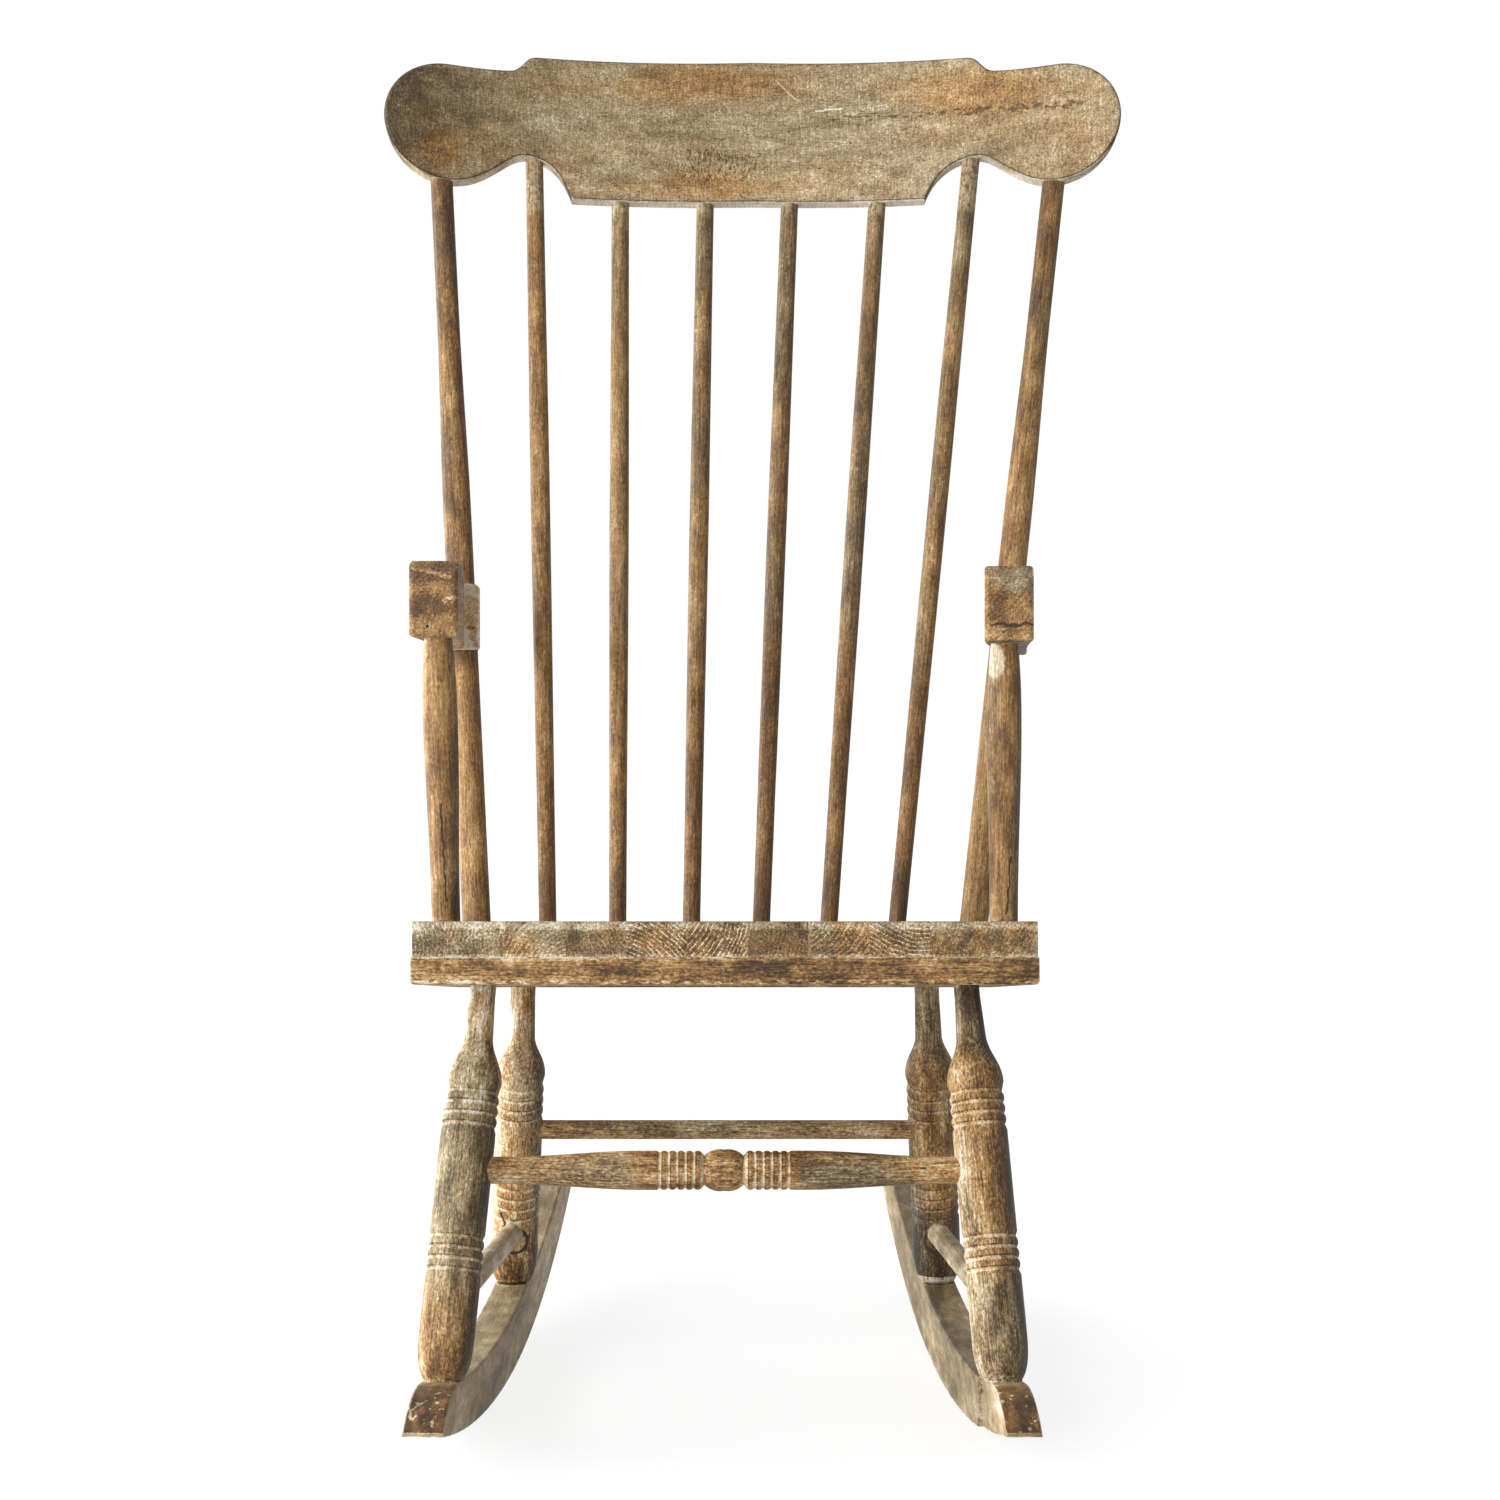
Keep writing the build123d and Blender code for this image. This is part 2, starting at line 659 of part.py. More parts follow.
def make_arm(side):
    plane = arm_plane(side)
    post = plane.to_local_coords(at_height(post_axis(side), arm_low(side) + arm_height / 2))
    half = arm_width / 2
    pad_start = post.X - arm_pad_ahead
    rear = post.X + arm_pad_behind
    with BuildPart() as arm:
        with BuildSketch(plane):
            with BuildLine():
                Line((0, side * half), (arm_block_length, side * half))
                Spline(
                    (arm_block_length, side * half),
                    ((arm_block_length + pad_start) / 2, side * (half + arm_waist) / 2),
                    (pad_start - half, side * arm_waist),
                    tangents=[(1, 0), (1, 0)],
                )
                Line((pad_start - half, side * arm_waist), (pad_start, side * arm_pad_half))
                Line((pad_start, side * arm_pad_half), (rear, side * arm_pad_half))
                Line((rear, side * arm_pad_half), (rear, -side * half))
                ThreePointArc(
                    (rear, -side * half),
                    (rear / 2, -side * (half - arm_hollow)),
                    (0, -side * half),
                )
                Line((0, -side * half), (0, side * half))
            make_face()
        extrude(amount=arm_height)
        front_face = arm.faces().sort_by(Axis.Y)[0]
        front_top = front_face.edges().sort_by(Axis.Z)[-1]
        chamfer(front_top, arm_bevel_drop, arm_bevel_back, reference=front_face)
        fillet(arm.edges().filter_by(Axis.Z), arm_corner_round)
        fillet(arm.faces().filter_by(Axis.Z).edges(), arm_edge_round)
        bore(post_axis(side), post_radius, 0, back_length)
        axis, reach = stump_axis(side)
        bore(axis, stump_tenon_radius, reach / 2, reach + stump_tenon_length + end_play)
        bore(nail_axis(side), nail_radius, -nail_sunk, nail_sunk + nail_length + end_play, screw_gap)
    return arm


def make_stump(side):
    axis, reach = stump_axis(side)
    with BuildPart() as stump:
        with BuildSketch(lathe_plane(axis)):
            with BuildLine():
                Polyline(
                    (stump_foot_radius, stump_foot_radius),
                    (stump_foot_radius, -stump_socket_depth),
                    (0, -stump_socket_depth),
                    (0, reach + stump_top_radius),
                    (stump_top_radius, reach + stump_top_radius),
                    (stump_top_radius, reach),
                )
                Spline(
                    (stump_foot_radius, stump_foot_radius),
                    (stump_belly_radius, reach * stump_belly_place),
                    (stump_top_radius, reach),
                    tangents=[(0, 1), (-0.1, 1)],
                )
            make_face()
        revolve(axis=Axis(axis.origin, axis.z_dir))
        with BuildSketch(arm_plane(side)):
            with Locations((stump_arm_inset, 0)):
                Rectangle(4 * stump_belly_radius, 4 * stump_belly_radius)
        extrude(amount=arm_height, mode=Mode.SUBTRACT)
        rod(axis, stump_tenon_radius, reach - stump_tenon_radius, reach + stump_tenon_length)
        bore(nail_axis(side), nail_radius, nail_sunk, nail_sunk + nail_length + end_play, screw_gap)
    return stump


for side in (-1, 1):
    finish(make_arm(side), "arm_" + name_of(side))
    finish(make_stump(side), "arm_stump_" + name_of(side))

with BuildPart() as arm_nails:
    for side in (-1, 1):
        rod(nail_axis(side), nail_radius, nail_sunk, nail_sunk + nail_length)
finish(arm_nails, "arm_nails")


# ---------------------------------------------------------------- seat
batten_half = seat_half + batten_proud
rear_batten_start = seat_depth - batten_rear_width
screw_across = [batten_half - screw_side_inset, batten_half / 3]
screw_spots = [
    (side * across, depth)
    for side in (-1, 1)
    for across in screw_across
    for depth in (batten_front_width / 5, rear_batten_start + batten_rear_width / 6)
] + [
    (side * (batten_half - batten_side_width / 2), depth)
    for side in (-1, 1)
    for depth in (
        batten_front_width + (rear_batten_start - batten_front_width) / 4,
        rear_batten_start - (rear_batten_start - batten_front_width) / 4,
    )
]
underside = seat_plane.offset(-seat_stack)


def screws(gap, mode):
    """Countersunk screws driven up from the underside of the seat."""
    for spot in screw_spots:
        axis = Plane(
            origin=underside.from_local_coords((spot[0], spot[1], screw_sunk)),
            x_dir=seat_plane.x_dir,
            z_dir=seat_plane.z_dir,
        )
        rod(axis, screw_radius + gap, 0, screw_length + gap, mode)
        with Locations(axis):
            Cone(
                screw_head_radius + gap,
                screw_radius + gap,
                screw_head_height,
                align=(Align.CENTER, Align.CENTER, Align.MIN),
                mode=mode,
            )
        if mode == Mode.SUBTRACT:
            rod(axis, screw_head_radius + gap, -screw_sunk, 0, mode)


def seat_sockets():
    """Every round socket that is bored in the staves from above."""
    for index in range(spindle_count + 2):
        outer = index in (0, spindle_count + 1)
        radius = post_radius if outer else spindle_seat_radius
        bore(back_members[index][0], radius, -back_socket_depth - end_play, back_row_inset)
    for side in (-1, 1):
        axis, _ = stump_axis(side)
        bore(axis, stump_foot_radius, -stump_socket_depth - end_play, stump_seat_inset)


first_joint = left_stave_width - seat_half
stave_joints = [first_joint + number * stave_width for number in range(full_stave_count + 1)]
stave_edges = [-seat_half] + stave_joints + [seat_half]


def make_stave(low, high):
    with BuildPart() as stave:
        with BuildSketch(seat_plane):
            with Locations(((low + high) / 2, 0)):
                Rectangle(high - low, seat_depth, align=(Align.CENTER, Align.MIN))
        extrude(amount=-board_thickness)
        front_top = stave.edges().filter_by(Axis.X).sort_by(Axis.Y)[:2].sort_by(Axis.Z)[-1]
        rear_top = stave.edges().filter_by(Axis.X).group_by(Axis.Y)[-1]
        fillet([front_top] + list(rear_top), seat_edge_round)
        seat_sockets()
        screws(screw_gap, Mode.SUBTRACT)
    return stave


for number, (low, high) in enumerate(zip(stave_edges, stave_edges[1:]), start=1):
    finish(make_stave(low, high), "seat_stave_" + str(number).zfill(2))


def make_batten(low_corner, high_corner):
    """Flat batten under the staves, given by two corners on the seat plane."""
    with BuildPart() as batten:
        with BuildSketch(seat_plane.offset(-board_thickness)):
            with Locations(((low_corner[0] + high_corner[0]) / 2, (low_corner[1] + high_corner[1]) / 2)):
                Rectangle(high_corner[0] - low_corner[0], high_corner[1] - low_corner[1])
        extrude(amount=-batten_thickness)
        low_edges = batten.faces().sort_by(Axis.Z)[0].edges()
        outer_edges = [edge for edge in low_edges if is_outer(edge)]
        fillet(outer_edges, batten_edge_round)
        for side in (-1, 1):
            for front in (True, False):
                axis, length = foot_tenon_axis(side, front)
                neck = front_neck_radius if front else rear_neck_radius
                bore(axis, neck, length - neck, length + leg_socket_depth + end_play)
        screws(screw_gap, Mode.SUBTRACT)
    return batten


def is_outer(edge):
    """True for an edge of the batten frame's outer rim."""
    middle = seat_plane.to_local_coords(edge.center())
    on_side = abs(abs(middle.X) - batten_half) < glue_gap
    on_end = min(abs(middle.Y), abs(middle.Y - seat_depth)) < glue_gap
    return on_side or on_end


finish(make_batten((-batten_half, 0), (batten_half, batten_front_width)), "batten_front")
finish(make_batten((-batten_half, rear_batten_start), (batten_half, seat_depth)), "batten_rear")
for side in (-1, 1):
    outer, inner = side * batten_half, side * (batten_half - batten_side_width)
    finish(
        make_batten((min(outer, inner), batten_front_width), (max(outer, inner), rear_batten_start)),
        "batten_" + name_of(side),
    )

with BuildPart() as batten_screws:
    screws(0, Mode.ADD)
finish(batten_screws, "batten_screws")
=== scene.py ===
# %% [markdown]
# # A weathered spindle-back rocking chair
#
# The frame of this lesson is a finished set of solids: every stick, board and rocker of the chair,
# already in its place. What is left for Blender is everything that makes old wood look like old wood.
# The first cell loads the solids. It also names the six directions, since most marks say which way a
# surface looks.

# %% Load the frame
import json
import math
import random
import statistics

import bpy
import numpy as np
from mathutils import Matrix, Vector

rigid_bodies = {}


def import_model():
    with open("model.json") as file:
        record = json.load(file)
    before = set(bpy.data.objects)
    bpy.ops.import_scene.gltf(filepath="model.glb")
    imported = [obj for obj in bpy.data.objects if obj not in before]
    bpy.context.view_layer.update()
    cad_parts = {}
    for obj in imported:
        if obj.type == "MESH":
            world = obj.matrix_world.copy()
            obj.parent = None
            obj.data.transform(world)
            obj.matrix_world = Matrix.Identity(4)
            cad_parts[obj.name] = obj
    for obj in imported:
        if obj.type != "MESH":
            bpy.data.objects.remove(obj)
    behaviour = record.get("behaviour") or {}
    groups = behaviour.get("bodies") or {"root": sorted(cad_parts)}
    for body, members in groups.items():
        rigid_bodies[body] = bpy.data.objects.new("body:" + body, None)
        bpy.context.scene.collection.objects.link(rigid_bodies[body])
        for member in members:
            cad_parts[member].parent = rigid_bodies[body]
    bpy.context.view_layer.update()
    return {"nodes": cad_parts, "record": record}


for left_over in list(bpy.data.objects):
    bpy.data.objects.remove(left_over)

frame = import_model()
nodes = frame["nodes"]
FRONT, REAR, LEFT, RIGHT, DOWN, UP = (0, -1, 0), (0, 1, 0), (-1, 0, 0), (1, 0, 0), (0, 0, -1), (0, 0, 1)
LEG_GROOVE, STRETCHER_GROOVE = 0.0191, 0.0131  # radius of the floor of the turned grooves, m
print("pieces in the frame:", len(nodes))

# %% [markdown]
# ## Shader maths as plain arithmetic
#
# A shader is a net of small sums. Drawn by hand, forty woods would be thousands of boxes and wires.
# So one small class, Wire, stands for a value on its way through the net, and its operators add the
# Math node that does the work: 1 - mask and height * 0.3 read as they would on paper.

# %% A value on its way through a shader
def skills(kind):
    """The names of the methods that a class adds, for printing."""
    return ", ".join(name for name in vars(kind) if not name.startswith("_"))


class Wire:
    """One output socket. Operators on it add Math nodes and give back the result's Wire."""

    def __init__(self, net, socket):
        self.net = net
        self.socket = socket

    def math(self, operation, *values):
        """Adds one Math node."""
        return self.net.node("ShaderNodeMath", {"operation": operation}, dict(enumerate(values)))

    def __add__(self, other):
        return self.math("ADD", self, other)

    def __sub__(self, other):
        return self.math("SUBTRACT", self, other)

    def __rsub__(self, other):
        return self.math("SUBTRACT", other, self)

    def __mul__(self, other):
        return self.math("MULTIPLY", self, other)

    def __truediv__(self, other):
        return self.math("DIVIDE", self, other)

    def __rtruediv__(self, other):
        return self.math("DIVIDE", other, self)

    def __pow__(self, other):
        return self.math("POWER", self, other)

    def __rpow__(self, other):
        return self.math("POWER", other, self)

    __radd__ = __add__
    __rmul__ = __mul__

    def fraction(self):
        """What is left after the whole numbers are taken off: a ramp that starts anew at each of them."""
        return self.math("FRACT", self)

    def size(self):
        """The value without its sign."""
        return self.math("ABSOLUTE", self)

    def greatest(self, other):
        """The larger of two values."""
        return self.math("MAXIMUM", self, other)


print("a Wire also has:", skills(Wire))

# %% [markdown]
# Every other kind of node comes from one method: its type, its settings, then what goes into its sockets.
# A mask is a number from 0 to 1 that says where something shows. fade turns any number into a mask, and
# mix lays one colour over another through a mask, as a painter glazes. Math nodes would turn a colour
# grey, so colours only ever meet in a Mix node.

# %% A shader net being built
BACKDROP_RAYS = ("Is Camera Ray", "Is Glossy Ray", "Is Transmission Ray")


def set_stops(ramp, stops):
    """Gives a colour ramp its stops: pairs of a place from 0 to 1 and a colour."""
    while len(ramp.elements) < len(stops):
        ramp.elements.new(0.5)
    for element, (place, tone) in zip(ramp.elements, stops):
        element.position = place
        element.color = (*tone, 1.0)


class Net:
    """The nodes of one material or world, with short ways to add to them."""

    def __init__(self, tree):
        self.tree = tree

    def plug(self, socket, value):
        """Links a Wire to a socket, or sets the socket to a number or a colour."""
        if isinstance(value, Wire):
            self.tree.links.new(value.socket, socket)
        elif socket.type == "RGBA":
            socket.default_value = (*value, 1.0)
        else:
            socket.default_value = value

    def node(self, kind, settings=None, inputs=None, output=0):
        """Adds a node of this type, with its settings first and its sockets after them."""
        made = self.tree.nodes.new(kind)
        for name, value in (settings or {}).items():
            if name == "stops":
                set_stops(made.color_ramp, value)
            else:
                setattr(made, name, value)
        for place, value in (inputs or {}).items():
            self.plug(made.inputs[place], value)
        return Wire(self, made.outputs[output])

    def vector(self, operation, *values, output=0):
        """A Vector Math node. Its second output is the one for lengths and dot products."""
        inputs = dict(enumerate(values))
        return self.node("ShaderNodeVectorMath", {"operation": operation}, inputs, output)

    def fade(self, value, low, high):
        """0 at low and 1 at high, with soft ends. It falls instead if low is the larger."""
        inputs = {"Value": value, "From Min": low, "From Max": high}
        return self.node("ShaderNodeMapRange", {"interpolation_type": "SMOOTHSTEP"}, inputs)

    def mix(self, under, over, mask):
        """One colour laid over another through a mask."""
        return self.node("ShaderNodeMix", {"data_type": "RGBA"}, {0: mask, 6: under, 7: over}, 2)

    def noise(self, place, scale, detail=2.0, roughness=0.5):
        """Smooth random values, about 0.5 on average."""
        inputs = {"Vector": place, "Scale": scale, "Detail": detail, "Roughness": roughness}
        return self.node("ShaderNodeTexNoise", None, inputs)

    def backdrop_seen(self):
        """1 for the rays that should find the white backdrop: the camera's, mirrors' and glass's."""
        camera, glossy, glass = (self.node("ShaderNodeLightPath", output=ray) for ray in BACKDROP_RAYS)
        return camera.greatest(glossy).greatest(glass)


class Finish(Net):
    """A new material."""

    def __init__(self, name):
        self.material = bpy.data.materials.new(name)
        self.material.use_nodes = True
        super().__init__(self.material.node_tree)
        self.surface = self.tree.nodes["Principled BSDF"]


print("a Net has:", skills(Net))


# %% [markdown]
# ## Which way the grain runs
#
# A maker lays the grain along the stick, because wood is strong that way. So each piece gets its own
# small frame: its middle, its long axis and a direction to its face. The long axis is found as an
# engineer would: from the solid's second moments, which a mesh gives triangle by triangle.

# %% Find a piece's own axes
def second_moments(corners):
    """The volume of each tetrahedron from the origin to a triangle, and their summed second moments."""
    volumes = np.einsum("ij,ij->i", corners[:, 0], np.cross(corners[:, 1], corners[:, 2])) / 6
    total = corners.sum(1)
    moments = np.einsum("t,tki,tkj->ij", volumes, corners, corners)
    return volumes, moments + np.einsum("t,ti,tj->ij", volumes, total, total)


def solid_frame(piece, face):
    """Middle of a solid, and its unit axes: across, towards its face, and along its length."""
    mesh = piece.data
    mesh.calc_loop_triangles()
    points = np.empty(len(mesh.vertices) * 3)
    mesh.vertices.foreach_get("co", points)
    triangles = np.empty(len(mesh.loop_triangles) * 3, dtype=np.int32)
    mesh.loop_triangles.foreach_get("vertices", triangles)
    points = points.reshape(-1, 3)
    corners = points[triangles.reshape(-1, 3)]
    volumes, _ = second_moments(corners)
    middle = (volumes[:, None] * corners.sum(1)).sum(0) / 4 / volumes.sum()
    _, moments = second_moments(corners - middle)
    along = Vector(np.linalg.eigh(moments)[1][:, -1])
    if sum(along) < 0:
        along = -along
    face = Vector(face)
    face = (face - along * along.dot(face)).normalized()
    across = face.cross(along)
    return {"middle": Vector(middle), "across": across, "face": face, "along": along, "points": points}


rail = solid_frame(nodes["crest_rail"], FRONT)
print("the crest rail's grain runs along", [round(part, 2) for part in rail["along"]])

# %% [markdown]
# Legs and the front stretcher have rows of grooves, cut while the piece spins on the lathe. The grooves
# are in the solids already, and old wash has to lie exactly in them. So the next cell finds them: a
# groove's floor is a ring of mesh points at one small distance from the piece's axis.

# %% Find the turned grooves
GROOVE_PITCH = (5.0, 10.0)  # the smallest and largest distance between two grooves of one row, mm
GROOVE_POINTS = 12  # a groove's floor has more mesh points than this
GROOVE_MARGIN = 0.00025  # how far they may lie from the floor's radius, m


def groove_rows(axes, radius):
    """Rows of grooves on a turned piece: the first and last level of each, and its pitch, in mm."""
    place = axes["points"] - np.array(axes["middle"])
    along = place @ np.array(axes["along"])
    from_axis = np.linalg.norm(place - np.outer(along, np.array(axes["along"])), axis=1)
    cut = np.sort(along[np.abs(from_axis - radius) < GROOVE_MARGIN]) * 1000
    groups = np.split(cut, np.where(np.diff(cut) > 1.0)[0] + 1)
    levels = [group.mean() for group in groups if len(group) > GROOVE_POINTS]
    rows = []
    for level in levels:
        if rows and GROOVE_PITCH[0] < level - rows[-1][-1] < GROOVE_PITCH[1]:
            rows[-1].append(level)
        else:
            rows.append([level])
    rows = [row for row in rows if len(row) > 2]
    return [(row[0], row[-1], (row[-1] - row[0]) / (len(row) - 1)) for row in rows]


stretcher = solid_frame(nodes["stretcher_front"], FRONT)
print("rows of grooves on the front stretcher:", len(groove_rows(stretcher, STRETCHER_GROOVE)))

# %% [markdown]
# ## The wood itself
#
# This chair was stained brown long ago, brushed with a thin pale wash, and then worn. A picture of that
# for each stick would need a map for every piece. A solid texture is simpler: it fills space, so end
# grain and long grain agree at every corner.
#
# Each thing that happened to the wood moves one number, the level, up towards bare and washed or down
# towards stain and dirt. Two ramps then turn the level into colour, one olive and one honey, and a
# slow cloud chooses between them. Old finishes look right this way because light and dark stay in step
# with the grain, and hue drifts on its own.

# %% The two ramps
OLIVE = [
    (0.00, (0.030, 0.021, 0.010)), (0.28, (0.110, 0.076, 0.034)), (0.50, (0.265, 0.190, 0.092)),
    (0.70, (0.455, 0.350, 0.205)), (0.88, (0.670, 0.580, 0.420)), (1.00, (0.840, 0.790, 0.690)),
]
HONEY = [
    (0.00, (0.034, 0.018, 0.008)), (0.28, (0.145, 0.070, 0.022)), (0.50, (0.345, 0.185, 0.060)),
    (0.70, (0.565, 0.350, 0.145)), (0.88, (0.730, 0.565, 0.340)), (1.00, (0.860, 0.770, 0.610)),
]
MIDDLE_TONE = 0.49  # the place on the ramps of a level of 0.5
NOISE_SPREAD = statistics.NormalDist(0.5, 0.11)  # how the values of a noise texture spread
print("stops on each ramp:", len(OLIVE))

# %% [markdown]
# The wood is built up in four layers of skill, one class on top of the other. The first knows where it
# is: how far along and across the piece, which way the surface looks, and how to throw noise over it.
# The noise is stretched along the grain, since everything in wood is longer than it is wide. One table
# holds the size of every kind of lump, from slow clouds of stain to hair-thin fibres.

# %% Wood that knows its grain
LUMPS = {
    # size across the grain in mm, stretch along the grain, detail, roughness of the detail
    "stain": (40, 4.5, 2.0, 0.5), "mottling": (10, 3.0, 3.0, 0.5), "warmth": (32, 5.0, 3.0, 0.5),
    "side": (4, 8.0, 3.0, 0.5), "ring wobble": (28, 9.0, 1.0, 0.5), "ring strength": (8, 12.0, 2.0, 0.5),
    "fibres": (0.9, 22.0, 2.0, 0.6), "pores": (1.2, 8.0, 2.0, 0.5),
    "wash grains": (1.6, 1.5, 2.0, 0.5), "groove wash": (7, 1.0, 3.0, 0.5),
    "rubbed edge": (2.5, 2.5, 2.0, 0.5), "nook wash": (3.0, 1.0, 2.0, 0.5), "gloss": (12, 3.0, 2.0, 0.5),
}


class GrainedWood(Finish):
    """A wood laid along one piece's grain, with masks to find places on it. Lengths are in mm."""

    def __init__(self, name, axes, look):
        super().__init__("wood_" + name)
        self.draw = random.Random(name)
        self.look = look
        self.axes = axes
        metres = self.node("ShaderNodeTexCoord", output=3)
        in_mm = {0: metres, "Scale": 1000.0}
        self.here = self.node("ShaderNodeVectorMath", {"operation": "SCALE"}, in_mm)
        place = self.vector("SUBTRACT", self.here, axes["middle"] * 1000)
        self.across = self.vector("DOT_PRODUCT", place, axes["across"], output=1)
        self.face = self.vector("DOT_PRODUCT", place, axes["face"], output=1)
        self.along = self.vector("DOT_PRODUCT", place, axes["along"], output=1)
        local = {0: self.across, 1: self.face, 2: self.along}
        self.local = self.node("ShaderNodeCombineXYZ", None, local)
        self.normal = self.node("ShaderNodeNewGeometry", output=1)
        self.end_grain = self.fade(self.looking(axes["along"]).size(), 0.6, 0.85)
        self.level = look["level"]
        self.warmth = look["warmth"]
        self.height = 0.0

    def cloud(self, size, stretch=1.0, detail=2.0, roughness=0.5):
        """Noise whose lumps are about size across the grain and stretch times that along it."""
        shrink = (1 / size, 1 / size, 1 / (size * stretch))
        shift = tuple(self.draw.uniform(0, 100) for _ in range(3))
        return self.noise(self.vector("MULTIPLY_ADD", self.local, shrink, shift), 1.0, detail, roughness)

    def lumps(self, kind):
        """Noise of one kind from the table."""
        return self.cloud(*LUMPS[kind])

    def patches(self, share, size, stretch=1.0, soft=0.06, detail=2.0, roughness=0.5):
        """A mask that covers about this share of the surface in lumps of this size."""
        edge = NOISE_SPREAD.inv_cdf(1 - share)
        return self.fade(self.cloud(size, stretch, detail, roughness), edge - soft, edge + soft)

    def looking(self, way):
        """1 where the surface looks in this direction, 0 where it looks aside, -1 where it looks away."""
        return self.vector("DOT_PRODUCT", self.normal, way, output=1)

    def facing(self, way, low=0.3, high=0.8):
        """A mask of the surface that looks in this direction."""
        return self.fade(self.looking(way), low, high)

    def reach(self, way, low, high):
        """A mask that grows from one distance to another along a direction, in mm from the origin."""
        return self.fade(self.vector("DOT_PRODUCT", self.here, way, output=1), low, high)

    def above(self, start, full):
        """Masks beyond a height, and below, right, left, ahead and behind do the same their way."""
        return self.reach(UP, start, full)

    def below(self, start, full):
        return self.reach(DOWN, -start, -full)

    def right_of(self, start, full):
        return self.reach(RIGHT, start, full)

    def left_of(self, start, full):
        return self.reach(LEFT, -start, -full)

    def behind(self, start, full):
        return self.reach(REAR, start, full)

    def ahead_of(self, start, full):
        return self.reach(FRONT, -start, -full)

    def shift(self, mask, amount):
        """Moves the level by an amount where the mask is 1."""
        self.level = mask * amount + self.level

    def drift(self, amount, kind):
        """Moves the level up and down in soft lumps of one kind from the table."""
        self.shift(self.lumps(kind) - 0.5, amount)

    def mark(self, mask, level=0.0, warmth=0.0, height=0.0, front_only=False):
        """Changes level, warmth and relief through a mask, on the front of the piece only if asked."""
        if front_only:
            mask = mask * self.facing(FRONT, 0.0, 0.3)
        if level:
            self.shift(mask, level)
        if warmth:
            self.warmth = mask * warmth + self.warmth
        if height:
            self.height = mask * height + self.height


print("grained wood has:", skills(GrainedWood))

# %% [markdown]
# The second layer is the wood as the maker left it, plus painted light and shade on the left and right of
# each stick.
# Growth rings are circles round the tree's pith, so they are drawn as distance from a line beside the
# piece, and end grain shows arcs by itself. Fibres and pores are the same noise stretched to needles.
# Brown stain soaks in unevenly, in clouds over mottling over pepper.

# %% Wood as it was made
class StainedWood(GrainedWood):
    """Rings, fibres, an uneven stain, and painted light and shade on the left and right of a stick."""

    def stain(self):
        """Broad clouds of stain, mottling, and the pepper of a surface that was never sanded smooth."""
        look = self.look
        self.drift(look["clouds"], "stain")
        self.drift(look["mottle"], "mottling")
        pepper = self.cloud(look["pepper_size"], look["pepper_stretch"], 3, 0.75) - 0.5
        self.shift(pepper, look["pepper"])
        self.height = pepper * 0.9
        self.warmth = (self.lumps("warmth") - 0.5) * look["warm_drift"] + self.warmth

    def sides(self):
        """Painted light and shade: own level and greyness for the left and the right of a stick."""
        look = self.look
        ragged = (self.lumps("side") - 0.5) * 0.5
        # painted light and shade, set by whether the surface faces the window lamp on the left
        toward_window = self.looking(LEFT) + ragged
        for name, side in (("left", toward_window), ("right", toward_window * -1)):
            aside = self.fade(side, look["aside"], 0.95)
            self.mark(aside, level=look[name], warmth=-look[name + "_grey"])

    def rings(self):
        """Growth rings round a pith line that runs beside the piece, pale only where end grain shows."""
        look = self.look
        turn = self.draw.uniform(0, 2 * math.pi)
        pith = (-look["pith"] * math.cos(turn), -look["pith"] * math.sin(turn), 0.0)
        flat = self.vector("MULTIPLY_ADD", self.local, (1, 1, 0), pith)
        wobble = (self.lumps("ring wobble") - 0.5) * look["ring_wobble"]
        turns = (self.vector("LENGTH", flat, output=1) + wobble) / look["ring_gap"]
        ring = turns.fraction() ** 2.0
        self.shift(ring * self.lumps("ring strength"), -look["ring_depth"])
        self.height = ring * -0.3 + self.height
        pale_rings = self.fade(turns.fraction(), 0.42, 0.12) * self.patches(0.5, 1.7, 1.0, 0.08, 2)
        self.shift(pale_rings * self.end_grain, look["end_rings"])

    def fibres(self):
        """Fine streaks along the grain, and the dark open pores between them."""
        look = self.look
        fibre = self.lumps("fibres") - 0.5
        self.shift(fibre, look["fibre"])
        self.height = fibre * 0.8 + self.height
        pores = self.fade(self.lumps("pores"), 0.67, 0.73)
        self.mark(pores, level=-look["pores"], height=-0.5)


print("stained wood adds:", skills(StainedWood))

# %% [markdown]
# The third layer is what the years did. Wash stays where nothing rubs: in films, in low spots and in
# grooves. Hands and cloth rub stain off the edges. Two nodes find those places on any solid: Bevel gives
# the direction a rounded surface would have, which differs from the real one only near an edge, and
# Ambient Occlusion tells how much sky a point sees, which is little in a corner. Beside each groove and
# in the deepest corners, shade is painted in as well.

# %% Wood as the years left it
SAMPLES = 6  # rays that Bevel and Ambient Occlusion send from each point
NOOK_REACH = 0.008  # how far Ambient Occlusion looks for a neighbour, m


